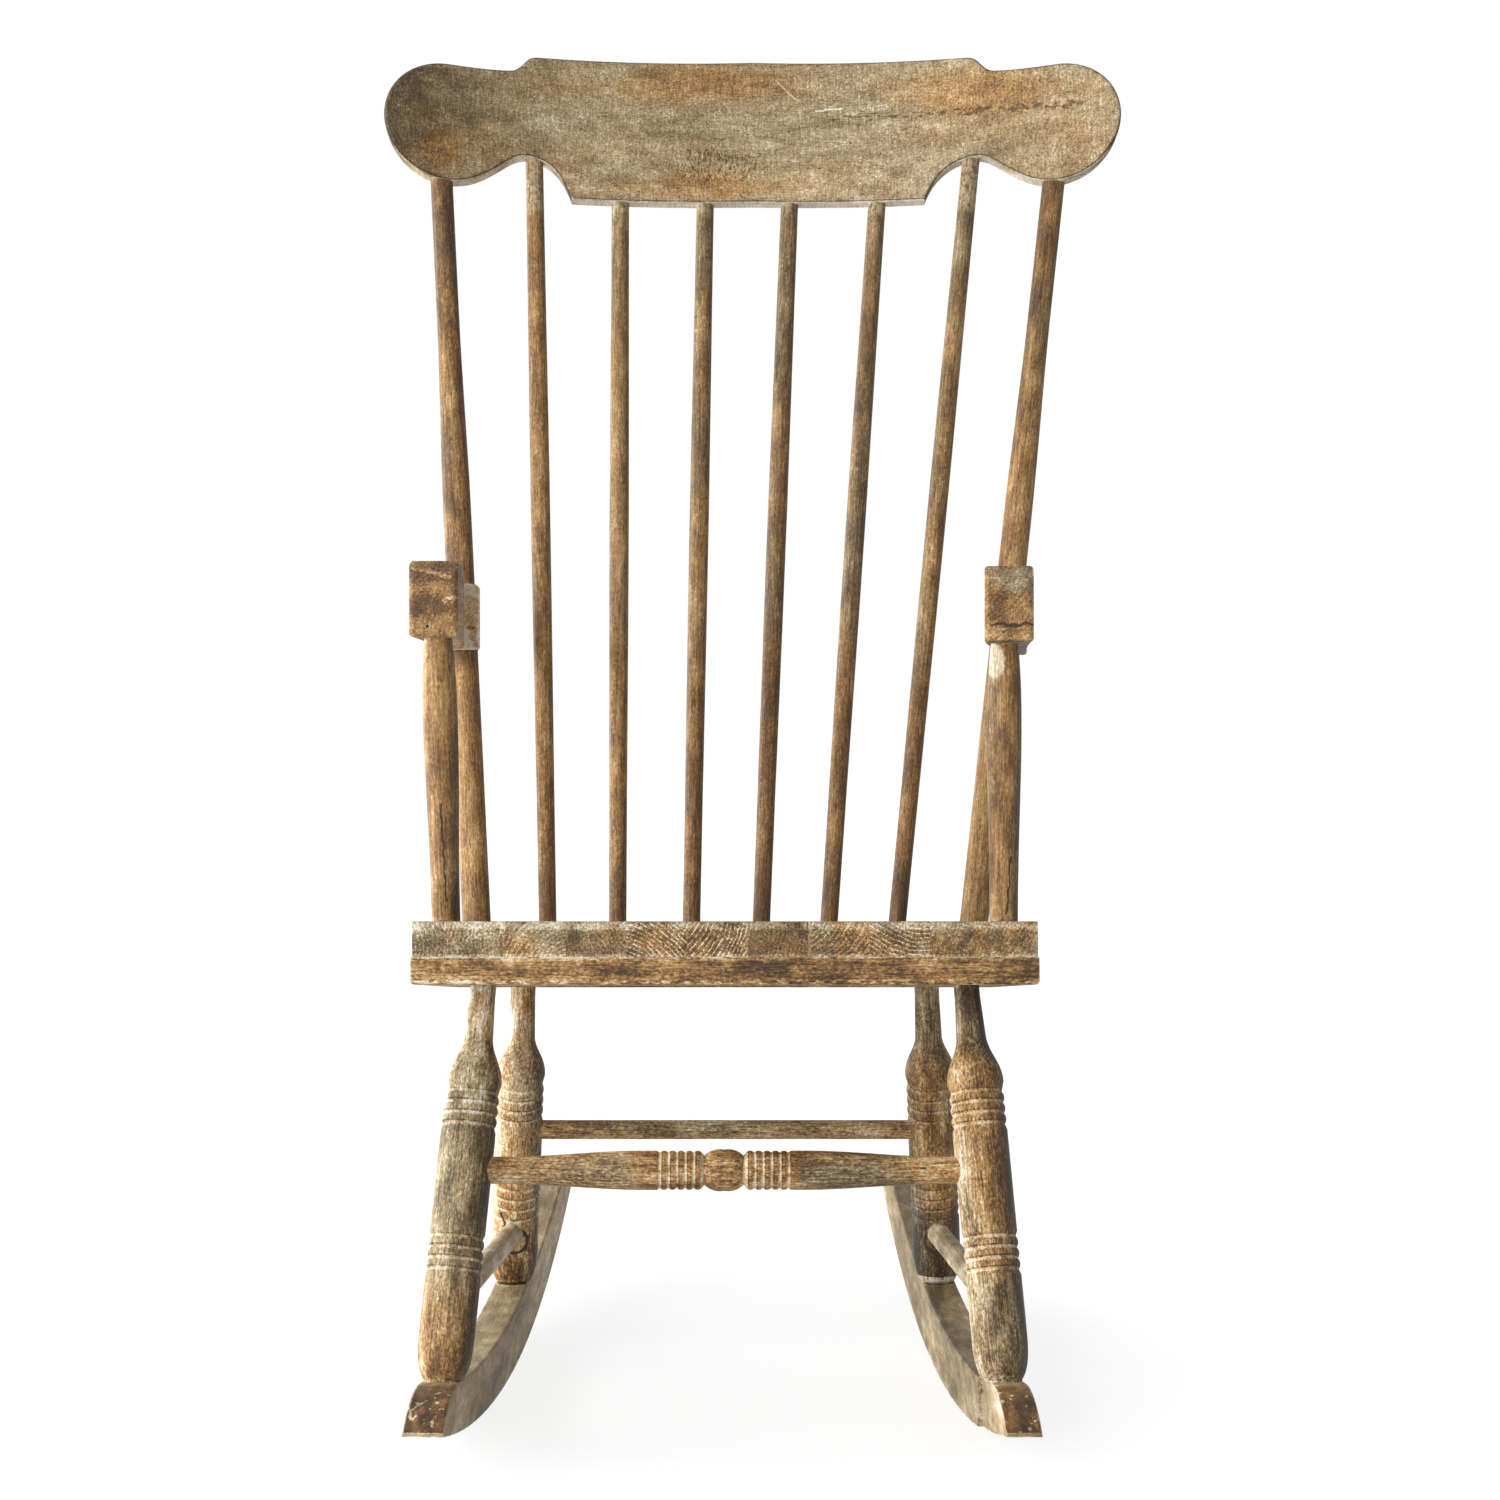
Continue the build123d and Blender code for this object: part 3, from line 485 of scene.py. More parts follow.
class WornWood(StainedWood):
    """Wash, dirt, rubbed edges, and painted shade in grooves and corners."""

    def wash(self):
        """What is left of the pale wash: films where nothing rubs, and grains in the low spots."""
        look = self.look
        film = self.patches(look["wash_share"], 16, 2.6, 0.12, 4, 0.6)
        self.shift(film, look["film"])
        grains = self.fade(self.lumps("wash grains"), 0.56, 0.68) * (film * 0.8 + 0.2)
        self.mark(grains, level=look["grains"], height=0.25)

    def grooves(self, rows, amounts):
        """Pale wash that stays in each groove of the turned rows, and a painted shadow line on one side
        of it.
        """
        broken = self.fade(self.lumps("groove wash"), 0.3, 0.55)
        for (first, last, pitch), amount in zip(rows, amounts):
            step = (self.along - first) / pitch + 0.5
            off = (step.fraction() - 0.5) * pitch
            past_first = self.fade(self.along, first - 2.5, first - 1.0)
            inside = past_first * self.fade(self.along, last + 2.5, last + 1.0)
            self.shift(self.fade(off.size(), 2.1, 0.6) * inside * (broken * 0.7 + 0.3), amount)
            # painted shade: the dark line beside each groove stands for the shadow of its lip
            self.shift(self.fade((off - 1.9).size(), 0.8, 0.2) * inside * (1 - broken * 0.6), -0.4)

    def edges(self):
        """Sharp edges, where the stain has rubbed through, with a dark line just inside them."""
        look = self.look
        inputs = {"Radius": look["edge_width"] / 1000}
        rounded = self.node("ShaderNodeBevel", {"samples": SAMPLES}, inputs)
        ragged = (self.lumps("rubbed edge") - 0.5) * 0.08
        turn = 1 - self.vector("DOT_PRODUCT", rounded, self.normal, output=1) + ragged
        dirt = look["edge_dirt"]
        self.shift(self.fade(turn, 0.02, 0.05) * self.patches(0.6, 5, 4, 0.1, 3), -dirt)
        self.shift(self.fade(turn, 0.06, 0.14) * self.patches(0.75, 6, 3, 0.12, 3), look["edge"] + dirt)

    def nooks(self):
        """Wash that pools in corners, with a dark line of dirt and painted shade at the very joint."""
        inputs = {"Distance": NOOK_REACH}
        open_sky = self.node("ShaderNodeAmbientOcclusion", {"samples": SAMPLES}, inputs, 1)
        broken = self.fade(self.lumps("nook wash"), 0.38, 0.58)
        self.shift(self.fade(open_sky, 0.80, 0.55) * broken, self.look["nook"])
        # dirt and painted shade: darkest where a point sees the least open sky
        self.shift(self.fade(open_sky, 0.50, 0.34), -0.6)


print("worn wood adds:", skills(WornWood))

# %% [markdown]
# The last layer has the tools for single marks, the stains and scratches that make one chair this chair.
# Each is a mask seen from the front, given across and up in mm. Noise is added to the distance before
# the mask is cut, which makes its rim ragged. Then done turns level and warmth into colour.

# %% Wood with single marks
RELIEF_DEPTH = 0.0007  # how deep a height of 1 stands, m


class Wood(WornWood):
    """The whole wood of one piece."""

    def spot(self, centre, size, ragged=0.8, soft=0.35):
        """A ragged patch round a point."""
        shrink = (1 / size[0], 0, 1 / size[1])
        shift = (-centre[0] / size[0], 0, -centre[1] / size[1])
        far = self.vector("LENGTH", self.vector("MULTIPLY_ADD", self.here, shrink, shift), output=1)
        torn = (self.cloud(max(size) * 0.8, 1.0, 4.0, 0.65) - 0.5) * ragged * 2
        return self.fade(far + torn, 1 + soft, 1 - soft)

    def ring(self, centre, radius, width):
        """A thin ring round a point. Its width is counted from the middle of the line."""
        off = self.vector("SUBTRACT", self.here, (centre[0], 0, centre[1]))
        far = self.vector("LENGTH", self.vector("MULTIPLY", off, (1, 0, 1)), output=1)
        return self.fade((far - radius).size(), width, width * 0.3)

    def stroke(self, start, finish, width, ragged=1.0):
        """A line between two points, straight if ragged is 0, and width wide on either side."""
        run = Vector((finish[0] - start[0], 0, finish[1] - start[1]))
        way = run.normalized()
        side = Vector((-way.z, 0, way.x))
        place = self.vector("SUBTRACT", self.here, (start[0], 0, start[1]))
        torn = (self.cloud(8, 1.0, 3.0) - 0.5) * ragged * width * 5
        off = (self.vector("DOT_PRODUCT", place, side, output=1) + torn).size()
        gone = self.vector("DOT_PRODUCT", place, way, output=1)
        ends = self.fade(gone, 0, width) * self.fade(gone, run.length, run.length - width)
        return self.fade(off, width, width * 0.4) * ends

    def done(self):
        """Turns level, warmth and relief into the surface, and gives back the material."""
        look = self.look
        level = (self.level - 0.5) * look["contrast"] + MIDDLE_TONE
        olive = self.node("ShaderNodeValToRGB", {"stops": OLIVE}, {0: level})
        honey = self.node("ShaderNodeValToRGB", {"stops": HONEY}, {0: level})
        colour = self.mix(olive, honey, self.fade(self.warmth, 0.0, 1.0))
        self.plug(self.surface.inputs["Base Color"], colour)
        roughness = (self.lumps("gloss") - 0.5) * 0.35 + look["rough"]
        self.plug(self.surface.inputs["Roughness"], roughness)
        self.plug(self.surface.inputs["Specular IOR Level"], 0.4)
        relief = {"Height": self.height, "Strength": look["relief"], "Distance": RELIEF_DEPTH}
        self.plug(self.surface.inputs["Normal"], self.node("ShaderNodeBump", None, relief))
        return self.material


print("marked wood adds:", skills(Wood))

# %% [markdown]
# ## What each piece has been through
#
# A look is a set of amounts for those layers. Amounts of level are small numbers such as 0.2, warmth may
# run past 1, and sizes are in mm. The first set is common to the chair. Broad flat pieces have no side
# that turns away from the light, so their side amounts are nought.

# %% Amounts that the whole chair shares
LOOK = {
    # tone, from stained to bare and from olive to honey
    "contrast": 1.25, "level": 0.48, "warmth": 0.6, "warm_drift": 3.0,
    # stain
    "clouds": 0.6, "mottle": 0.75, "pepper": 1.25, "pepper_size": 1.8, "pepper_stretch": 1.8,
    # painted light and shade: level and greyness on the left and right of a stick, and how far round it
    # they begin
    "left": -0.12, "right": -0.22, "left_grey": 0.35, "right_grey": 0.35, "aside": 0.4,
    # grain, with the distance from the middle to the pith
    "pith": 60, "ring_wobble": 10, "ring_gap": 3.4, "ring_depth": 0.2, "end_rings": 0.0,
    "fibre": 0.75, "pores": 0.4,
    # pale wash, and the wash in nooks
    "wash_share": 0.3, "film": 0.12, "grains": 0.2, "nook": 0.3,
    # rubbed edges
    "edge_width": 2.5, "edge": 0.2, "edge_dirt": 0.2,
    # gloss and relief
    "rough": 0.62, "relief": 0.6,
}
FLAT = {"left": 0.0, "right": 0.0, "left_grey": 0.0, "right_grey": 0.0}
print("amounts in a look:", len(LOOK))

# %% [markdown]
# Each kind of piece has its own past. The crest rail is broad and was handled, the rockers are smooth
# and dusty, the seat shows end grain. So each kind changes a few amounts. The names are those of the
# material slots in the frame's record.

# %% Amounts of each kind of piece
LOOKS = {
    "crest_wood": {
        "level": 0.605, "warmth": 0.2, "warm_drift": 1.4, "clouds": 0.3, "mottle": 0.4, "pepper": 1.0,
        "pepper_stretch": 1.1, "pith": 400, "ring_depth": 0.05, "fibre": 0.3, "wash_share": 0.25,
        "film": 0.06, "edge_width": 6.0, "edge": 0.28, "edge_dirt": 0.34, **FLAT,
    },
    "back_wood": {
        "contrast": 1.0, "level": 0.44, "warmth": 0.6, "warm_drift": 2.0, "clouds": 0.4, "mottle": 0.5,
        "pepper": 0.85, "left": 0.0, "right": -0.12, "left_grey": 0.3, "right_grey": 0.0, "aside": 0.5,
        "pith": 40,
    },
    "leg_wood": {
        "warmth": 0.6, "left": 0.1, "right": -0.16, "pith": 45, "wash_share": 0.45, "film": 0.12,
    },
    "stretcher_wood": {"level": 0.54, "warmth": 0.7, "left": 0.0, "right": 0.0},
    "rocker_wood": {
        "level": 0.59, "warmth": 0.12, "warm_drift": 0.8, "clouds": 0.7, "mottle": 0.5, "pepper": 0.45,
        "ring_depth": 0.08, "fibre": 0.35, "pores": 0.12, "relief": 0.35, **FLAT,
    },
    "arm_wood": {
        "level": 0.50, "warmth": 1.0, "clouds": 0.5, "mottle": 0.5, "pepper": 0.9, "edge_width": 4.0,
        "edge": 0.16, "edge_dirt": 0.2, **FLAT,
    },
    "stump_wood": {
        "contrast": 1.0, "level": 0.475, "warmth": 1.0, "pepper": 0.8, "left": 0.02, "fibre": 0.7,
    },
    "seat_wood": {
        "contrast": 1.1, "level": 0.42, "warmth": 0.6, "pepper": 1.6, "pith": 60, "ring_gap": 3.2,
        "ring_depth": 0.2, "end_rings": 0.1, "edge_width": 3.0, "edge": 0.05, "edge_dirt": 0.12, **FLAT,
    },
    "batten_wood": {
        "contrast": 1.0, "level": 0.39, "warmth": 1.5, "mottle": 0.9, "pepper": 1.7, "wash_share": 0.2,
        "edge_width": 4.0, "edge": 0.3, **FLAT,
    },
}
print("kinds of wood:", ", ".join(LOOKS))

# %% [markdown]
# No two sticks come from the same board. Single pieces get their own tone here, and the staves of the
# seat their own share of pale rings, because the saw met each board at another angle.

# %% Amounts of single pieces
PASTS = {
    "leg_front_left": {"contrast": 1.1, "level": 0.40, "warmth": 0.6, "left": 0.26, "right": -0.24},
    "leg_front_right": {"level": 0.46, "warmth": 0.65, "left": 0.2, "right": -0.34},
    "leg_rear_left": {"level": 0.53, "warmth": 0.8, "left": 0.2, "right": -0.16},
    "leg_rear_right": {"level": 0.41, "warmth": 0.55, "left": -0.05, "right": -0.1},
    "back_post_left": {"contrast": 1.0, "level": 0.34, "warmth": 0.9},
    "back_post_right": {"level": 0.45, "warmth": 0.85},
    "spindle_1": {"warmth": 1.0},
    "spindle_2": {"level": 0.46},
    "spindle_3": {"level": 0.41},
    "spindle_4": {"level": 0.36},
    "spindle_5": {"level": 0.40},
    "spindle_6": {"level": 0.42},
    "arm_left": {"level": 0.45, "warmth": 1.2},
    "arm_right": {"level": 0.465, "warmth": 1.1},
    "arm_stump_left": {"level": 0.45},
    "arm_stump_right": {"level": 0.395},
    "rocker_left": {"level": 0.58},
    "rocker_right": {"level": 0.51},
    "stretcher_rear": {"level": 0.53},
    "stretcher_side_left": {
        "level": 0.68, "warmth": 0.1, "warm_drift": 0.8, "pepper": 0.4, "fibre": 0.4,
    },
    "stretcher_side_right": {
        "level": 0.56, "warmth": 0.05, "warm_drift": 0.6, "pepper": 0.4, "fibre": 0.4,
    },
    "seat_stave_01": {"level": 0.50, "warmth": 0.25, "end_rings": 0.2},
    "seat_stave_02": {"level": 0.47, "warmth": 0.4, "end_rings": 0.14},
    "seat_stave_03": {"level": 0.47, "warmth": 0.6, "end_rings": 0.24},
    "seat_stave_04": {"level": 0.36, "warmth": 0.55, "end_rings": 0.12},
    "seat_stave_05": {"level": 0.37, "warmth": 0.6, "end_rings": 0.5},
    "seat_stave_06": {"level": 0.37, "warmth": 0.6, "end_rings": 0.55},
    "seat_stave_07": {"level": 0.33, "warmth": 0.6, "end_rings": 0.04},
    "seat_stave_08": {"level": 0.38, "warmth": 0.5, "end_rings": 0.25},
    "seat_stave_09": {"level": 0.37, "warmth": 0.5, "end_rings": 0.5},
    "seat_stave_10": {"level": 0.40, "warmth": 0.45, "end_rings": 0.08},
    "seat_stave_11": {"level": 0.38, "warmth": 0.45, "end_rings": 0.1},
}
unknown = set(PASTS) - set(nodes)
print("pieces with a past of their own:", len(PASTS), "unknown names:", len(unknown))

# %% [markdown]
# ## Single marks
#
# The crest rail is where heads lean and hands pull, so it has the most to tell. Its front carries the
# stains, pits and two scratches. Its rims differ by side: the top and the ends are darker, and the
# underside is paler, with a dark line where it turns from the face.

# %% Marks on the crest rail
# where each scratch starts and ends, its half width, and how much paler it is
CREST_SCRATCHES = (((21, 1127), (40, 1108), 1.1, 0.25), ((57, 1097), (84, 1100), 1.3, 0.3))


def crest_marks(wood):
    """Stains, rims, pits and scratches of the crest rail."""
    # the dark ear on the left, the darker wood towards it and the orange patch at its foot
    wood.mark(wood.spot((-315, 1092), (52, 62), 0.4, 0.6), level=-0.2, warmth=-0.1)
    wood.mark(wood.left_of(-120, -300), level=-0.08, warmth=0.1)
    wood.mark(wood.spot((-279, 1052), (17, 15), 0.6, 0.3), level=-0.06, warmth=0.9)
    # orange clouds: high in the middle, low in the middle, high on the right, all over the right
    wood.mark(wood.spot((-50, 1124), (75, 16), 0.8, 0.5), level=-0.09, warmth=0.4)
    wood.mark(wood.spot((-50, 1026), (60, 12), 0.7, 0.4), level=-0.02, warmth=0.5)
    wood.mark(wood.spot((190, 1112), (70, 22), 0.7, 0.5), level=-0.03, warmth=0.5)
    wood.mark(wood.spot((250, 1080), (90, 50), 0.5, 0.6), level=-0.03, warmth=0.15)
    # rims
    wood.mark(wood.facing(DOWN, 0.1, 0.2), level=-0.3)
    wood.mark(wood.facing(DOWN, 0.35, 0.6), level=0.52, warmth=-0.5)
    wood.mark(wood.facing(UP, 0.45, 0.75), level=-0.25)
    for way in (LEFT, RIGHT):
        wood.mark(wood.facing(way, 0.5, 0.7), level=-0.25)
    # a row of pits on the right, dark smears low in the middle, and the scratches
    pits = wood.stroke((70, 1092), (300, 1092), 4.0, 0.7) * wood.patches(0.45, 3, 3)
    wood.mark(pits, level=-0.25, height=-0.6, front_only=True)
    smears = wood.spot((-38, 1046), (38, 18), 1.0, 0.5) * wood.patches(0.4, 4, 0.4)
    wood.mark(smears, level=-0.22, front_only=True)
    for start, finish, width, pale in CREST_SCRATCHES:
        wood.mark(wood.stroke(start, finish, width, 0.5), level=pale, height=-0.6, front_only=True)
    # the coarse weave that saw and grain left together
    weave = wood.noise(wood.vector("MULTIPLY", wood.here, (0.75, 0.1, 0.07)), 1.0, 2.0) - 0.5
    wood.shift(weave, 0.35)


print("scratches on the crest rail:", len(CREST_SCRATCHES))

# %% [markdown]
# The arms end in blocks that show end grain to the front. The left one has a pale scratch and a stain
# with a scalloped rim, and at its rear a pad kept pale by its wash and by painted light that lifts the
# block's shadow. The right one has cream paint at the top and a drying crack that runs across. Each
# stump has a crack along its grain.

# %% Marks on arms and stumps
PAD_LENGTH = 64  # of the pale rear end of the left arm, mm
PAD_FADE = 20  # the length over which it comes in, mm


def left_arm_marks(wood):
    """A pale scratch, a stain with a scalloped rim, and a pad round the post, pale with wash and painted
    light.
    """
    wood.mark(wood.spot((-233, 652), (40, 8), 0.5, 0.4), level=-0.16, warmth=-0.2)
    wood.mark(wood.spot((-245, 636), (24, 12), 0.7, 0.5), level=-0.06, warmth=0.8)
    wood.mark(wood.stroke((-259, 655), (-226, 648), 2.0, 0.6), level=0.22)
    wood.mark(wood.spot((-246, 627), (15, 6), 1.6, 0.3), level=-0.12, warmth=0.4)
    scratch = wood.stroke((-234, 627), (-224, 636), 3.0, 0.9) * wood.patches(0.6, 2.5)
    wood.mark(scratch, level=0.3, warmth=-1.0)
    wood.mark(wood.spot((-245, 612), (18, 10), 0.8, 0.5), level=0.1, warmth=0.2)
    rear_end = wood.axes["points"][:, 1].max() * 1000
    pad = wood.behind(rear_end - PAD_LENGTH - PAD_FADE, rear_end - PAD_LENGTH)
    # pale wash and painted light: the pad is lifted to undo the shadow the arm block casts on it
    wood.mark(pad, level=0.5, warmth=-0.6)
    wood.mark(pad * wood.stroke((-244, 626), (-240, 604), 3.2, 0.8), level=-0.4)


def right_arm_marks(wood):
    """Mottled cream paint above, streaks below, a crack across and a dull underside."""
    wood.mark(wood.spot((194, 646), (20, 10), 0.8, 0.4), level=0.1, warmth=-0.9)
    wood.mark(wood.spot((208, 638), (5, 18), 0.7, 0.4), level=0.22, warmth=-0.9)
    wood.mark(wood.spot((178, 630), (8, 20), 0.7, 0.4), level=-0.08, warmth=0.4)
    wood.mark(wood.stroke((172, 613), (208, 613), 1.2, 1.2), level=-0.45, height=-0.8)
    wood.mark(wood.facing(DOWN), level=-0.12, warmth=-0.5)


def stump_marks(wood):
    """A drying crack low on either stump, and bare wood at the top of the right one."""
    for start, finish, width in (((-238, 480), (-234, 405), 0.9), ((191, 440), (188, 395), 0.8)):
        crack = wood.stroke(start, finish, width, 0.9)
        wood.mark(crack, level=-0.5, height=-1.0, front_only=True)
    wood.mark(wood.spot((178, 586), (7, 14), 0.6, 0.3), level=0.4, warmth=-0.8, front_only=True)


print("length of the pale pad, mm:", PAD_LENGTH)

# %% [markdown]
# Posts and spindles change with height: dark or olive under the crest rail, amber above the arms, redder
# near the seat, and darkest in the joint with it, from dirt and painted shade. So their marks are masks
# over height alone.

# %% Marks on posts and spindles
SEAT_JOINT = (420, 400)  # heights where the dirt and painted shade above the seat begin, and where they are full, mm
ARM_JOINT = (602, 575)  # the same for the smoother wood below the arms


def post_marks(wood):
    """Dark under the crest rail, amber above the arms, smooth and pale below them."""
    wood.mark(wood.above(880, 920), level=-0.12)
    wood.mark(wood.above(640, 680) * wood.below(800, 740), level=0.06, warmth=0.4)
    wood.mark(wood.below(*ARM_JOINT), level=0.2, warmth=0.2)
    wood.mark(wood.below(*ARM_JOINT) * wood.right_of(0, 10), level=-0.16, warmth=0.4)
    # dirt and painted shade where the post meets the seat
    wood.mark(wood.below(*SEAT_JOINT), level=-0.12, warmth=0.3)


def spindle_marks(wood):
    """Olive below the crest rail with wash in the joint, and a redder, darker foot."""
    wood.mark(wood.above(850, 1000), warmth=-0.2)
    wood.mark(wood.above(996, 1004) * wood.patches(0.7, 4), level=0.2, warmth=-0.6)
    wood.mark(wood.below(640, 480), level=-0.04, warmth=0.8)
    # dirt and painted shade where the spindle meets the seat
    wood.mark(wood.below(*SEAT_JOINT), level=-0.1)


print("dirt above the seat, mm:", SEAT_JOINT)

# %% [markdown]
# The seat has two layers: staves glued side by side, and battens under them. Wash caught in the joint
# between the layers draws the pale line that runs along the whole front. The upper rim is pale because
# legs have rubbed it for years.

# %% Marks on the seat's front
# heights where each mark begins, and where it is full, mm
RUBBED_RIM, STAVE_WASH = (385.0, 388.5), (369.0, 368.0)
BATTEN_WASH, BATTEN_FLECKS = (362.5, 364.5), (352.0, 348.0)


def stave_marks(wood):
    """A pale rubbed rim along the front edge, and wash caught in the joint below."""
    front = wood.facing(FRONT, 0.05, 0.4)
    rim = front * wood.above(*RUBBED_RIM) * wood.patches(0.85, 12, 1)
    wood.mark(rim, level=0.24, warmth=-0.3)
    joint = front * wood.below(*STAVE_WASH) * wood.patches(0.9, 12, 1)
    wood.mark(joint, level=0.2, warmth=-0.4)


def front_batten_marks(wood):
    """Wash in the joint above, flecks below, a greyer left end, a darker right one, and stains."""
    joint = wood.above(*BATTEN_WASH) * wood.patches(0.85, 12, 1)
    wood.mark(joint, level=0.14, warmth=-0.5)
    flecks = wood.below(*BATTEN_FLECKS) * wood.patches(0.4, 3, 2)
    wood.mark(flecks, level=0.4, warmth=-0.4)
    wood.mark(wood.left_of(-110, -150), level=0.15, warmth=-0.45)
    wood.mark(wood.right_of(165, 200), level=-0.12)
    wood.mark(wood.patches(0.12, 22, 1.5), level=-0.1)


print("the wash line of the seat's front lies between, mm:", BATTEN_WASH[0], STAVE_WASH[0])

# %% [markdown]
# The noses of the rockers are the first thing a foot kicks. They have lost their wash and gone dark,
# apart from chalky flecks. The legs stand on the rockers in a line of wash, and a dark ring shows where
# the side stretcher enters the rear leg.

# %% Marks on rockers, legs and the front stretcher
NOSE = (-376, -384)  # how far to the front a rocker's nose begins, and where it is full, mm
NOSE_SLOPE = (0, -0.5, 0.86)  # the way its worn face looks
SOCKET_RADIUS, SOCKET_WIDTH = 11.0, 1.8  # radius and half width of the ring round a socket, mm


def rocker_marks(wood):
    """A dark weathered nose with chalky flecks."""
    nose = wood.ahead_of(*NOSE) * wood.facing(NOSE_SLOPE, 0.75, 0.95)
    wood.mark(nose, level=-0.42, warmth=0.5)
    wood.mark(nose * wood.patches(0.5, 9, 2), level=0.12, warmth=0.5)
    wood.mark(nose * wood.patches(0.07, 5, 1.5, 0.03, 1), level=0.45, warmth=-0.8)


def right_rocker_marks(wood):
    """Darker on top, behind the paler step of its front end."""
    wood.mark(wood.facing(UP, 0.6, 0.9) * wood.behind(-330, -310), level=-0.1, warmth=0.1)
    wood.mark(wood.ahead_of(*NOSE), level=0.1, warmth=0.2)


def left_rocker_marks(wood):
    """Darker underneath and low on its inner side."""
    wood.mark(wood.facing(DOWN, 0.0, 0.4), level=-0.16)
    wood.mark(wood.facing(RIGHT, 0.6, 0.9) * wood.below(60, 10), level=-0.1)


def front_left_leg_marks(wood):
    """Wash still thick on the neck and the bulge below it."""
    wood.mark(wood.above(235, 265) * wood.patches(0.75, 14, 2), level=0.26, warmth=-0.3)
    wood.mark(wood.below(140, 100), level=-0.04, warmth=0.35)


def front_right_leg_marks(wood):
    """A dark neck, an amber bulge and a greyer foot."""
    wood.mark(wood.above(278, 302), level=-0.2, warmth=-0.3)
    wood.mark(wood.above(236, 250) * wood.below(300, 285), level=-0.03, warmth=0.3)
    wood.mark(wood.below(145, 120), level=-0.05, warmth=-0.4)


def front_stretcher_marks(wood):
    """Reddish beads and ball, a dark olive right half and a pinkish end at the right leg."""
    wood.mark(wood.right_of(-100, -75) * wood.left_of(36, 24), level=-0.04, warmth=1.2)
    wood.mark(wood.right_of(24, 36), level=-0.08, warmth=-0.5)
    wood.mark(wood.right_of(80, 130), level=0.12, warmth=0.6)


def rear_left_leg_marks(wood):
    """A crack down to the stretcher's socket, the ring round it, a dark foot, an amber neck."""
    crack = wood.stroke((-217, 120), (-213, 104), 1.5, 0.8)
    wood.mark(crack, level=-0.7, height=-1.0, front_only=True)
    wood.mark(wood.ring((-206, 94), SOCKET_RADIUS, SOCKET_WIDTH), level=-0.6, front_only=True)
    wood.mark(wood.below(92, 84) * wood.patches(0.8, 8, 2), level=-0.26)
    wood.mark(wood.above(285, 310), level=0.05, warmth=0.9)


def rear_right_leg_marks(wood):
    """The ring round the stretcher's socket, a dark foot, a paler neck, and wash under the foot."""
    wood.mark(wood.ring((159, 94), SOCKET_RADIUS, SOCKET_WIDTH), level=-0.5, front_only=True)
    wood.mark(wood.below(130, 110), level=-0.2, warmth=-0.3)
    wood.mark(wood.above(290, 310), level=0.2, warmth=-0.3)
    wood.mark(wood.below(61, 60), level=0.6, warmth=-0.6)


print("a nose begins at y, mm:", NOSE[0])

# %% [markdown]
# ## Every piece gets its wood
#
# All pieces share the recipe, and each draws its own clouds and rings from a seed that is its name. So
# two spindles are never twins, and a rerun gives the same chair.

# %% Give each piece its wood
FACES = {"seat_stave": UP, "batten": UP, "arm_left": UP, "arm_right": UP}  # the others face the front
TURNED = {
    # the radius of the grooves' floor, and how much wash the first and the second row keep
    "leg_front_left": (LEG_GROOVE, (0.20, 0.22)), "leg_front_right": (LEG_GROOVE, (0.28, 0.2)),
    "leg_rear_left": (LEG_GROOVE, (0.18, 0.16)), "leg_rear_right": (LEG_GROOVE, (0.06, 0.10)),
    "stretcher_front": (STRETCHER_GROOVE, (0.3, 0.3)),
}
MARKS = {
    # a piece gets the marks of every key that its name starts with
    "crest_rail": crest_marks, "arm_left": left_arm_marks, "arm_right": right_arm_marks,
    "arm_stump": stump_marks, "back_post": post_marks, "spindle": spindle_marks,
    "rocker": rocker_marks, "rocker_right": right_rocker_marks, "rocker_left": left_rocker_marks,
    "seat_stave": stave_marks, "batten_front": front_batten_marks,
    "stretcher_front": front_stretcher_marks,
    "leg_rear_left": rear_left_leg_marks, "leg_rear_right": rear_right_leg_marks,
    "leg_front_left": front_left_leg_marks, "leg_front_right": front_right_leg_marks,
}
slots = {part["node"]: part["material_slot"] for part in frame["record"]["subparts"]}


def finish_with(piece, material):
    """Puts one material on a whole piece."""
    piece.data.materials.clear()
    piece.data.materials.append(material)


def old_wood(name, piece):
    """The wood of one piece, layer by layer, and then its own marks."""
    look = {**LOOK, **LOOKS[slots[name]], **PASTS.get(name, {})}
    face = next((way for start, way in FACES.items() if name.startswith(start)), FRONT)
    axes = solid_frame(piece, face)
    wood = Wood(name, axes, look)
    for layer in (wood.stain, wood.sides, wood.rings, wood.fibres, wood.wash):
        layer()
    if name in TURNED:
        radius, amounts = TURNED[name]
        wood.grooves(groove_rows(axes, radius), amounts)
    wood.edges()
    wood.nooks()
    for start, marks in MARKS.items():
        if name.startswith(start):
            marks(wood)
    return wood.done()


wooden = {name: piece for name, piece in sorted(nodes.items()) if slots[name] != "steel"}
for name, piece in wooden.items():
    finish_with(piece, old_wood(name, piece))
print("woods made:", len(wooden))

# %% [markdown]
# The nails and screws are old iron. Rust is rough and not metallic, and it sits in patches on bare metal
# that has gone dark, so one mask drives colour, metalness and roughness together.

# %% Rusted steel
RUST_DARK, RUST_BROWN, BARE_STEEL = (0.06, 0.03, 0.018), (0.16, 0.07, 0.03), (0.20, 0.19, 0.18)
RUST_PATCHES, RUST_SPECKLES = 900.0, 2600.0  # lumps of noise to the metre
RUST_DEPTH = 0.0002  # m

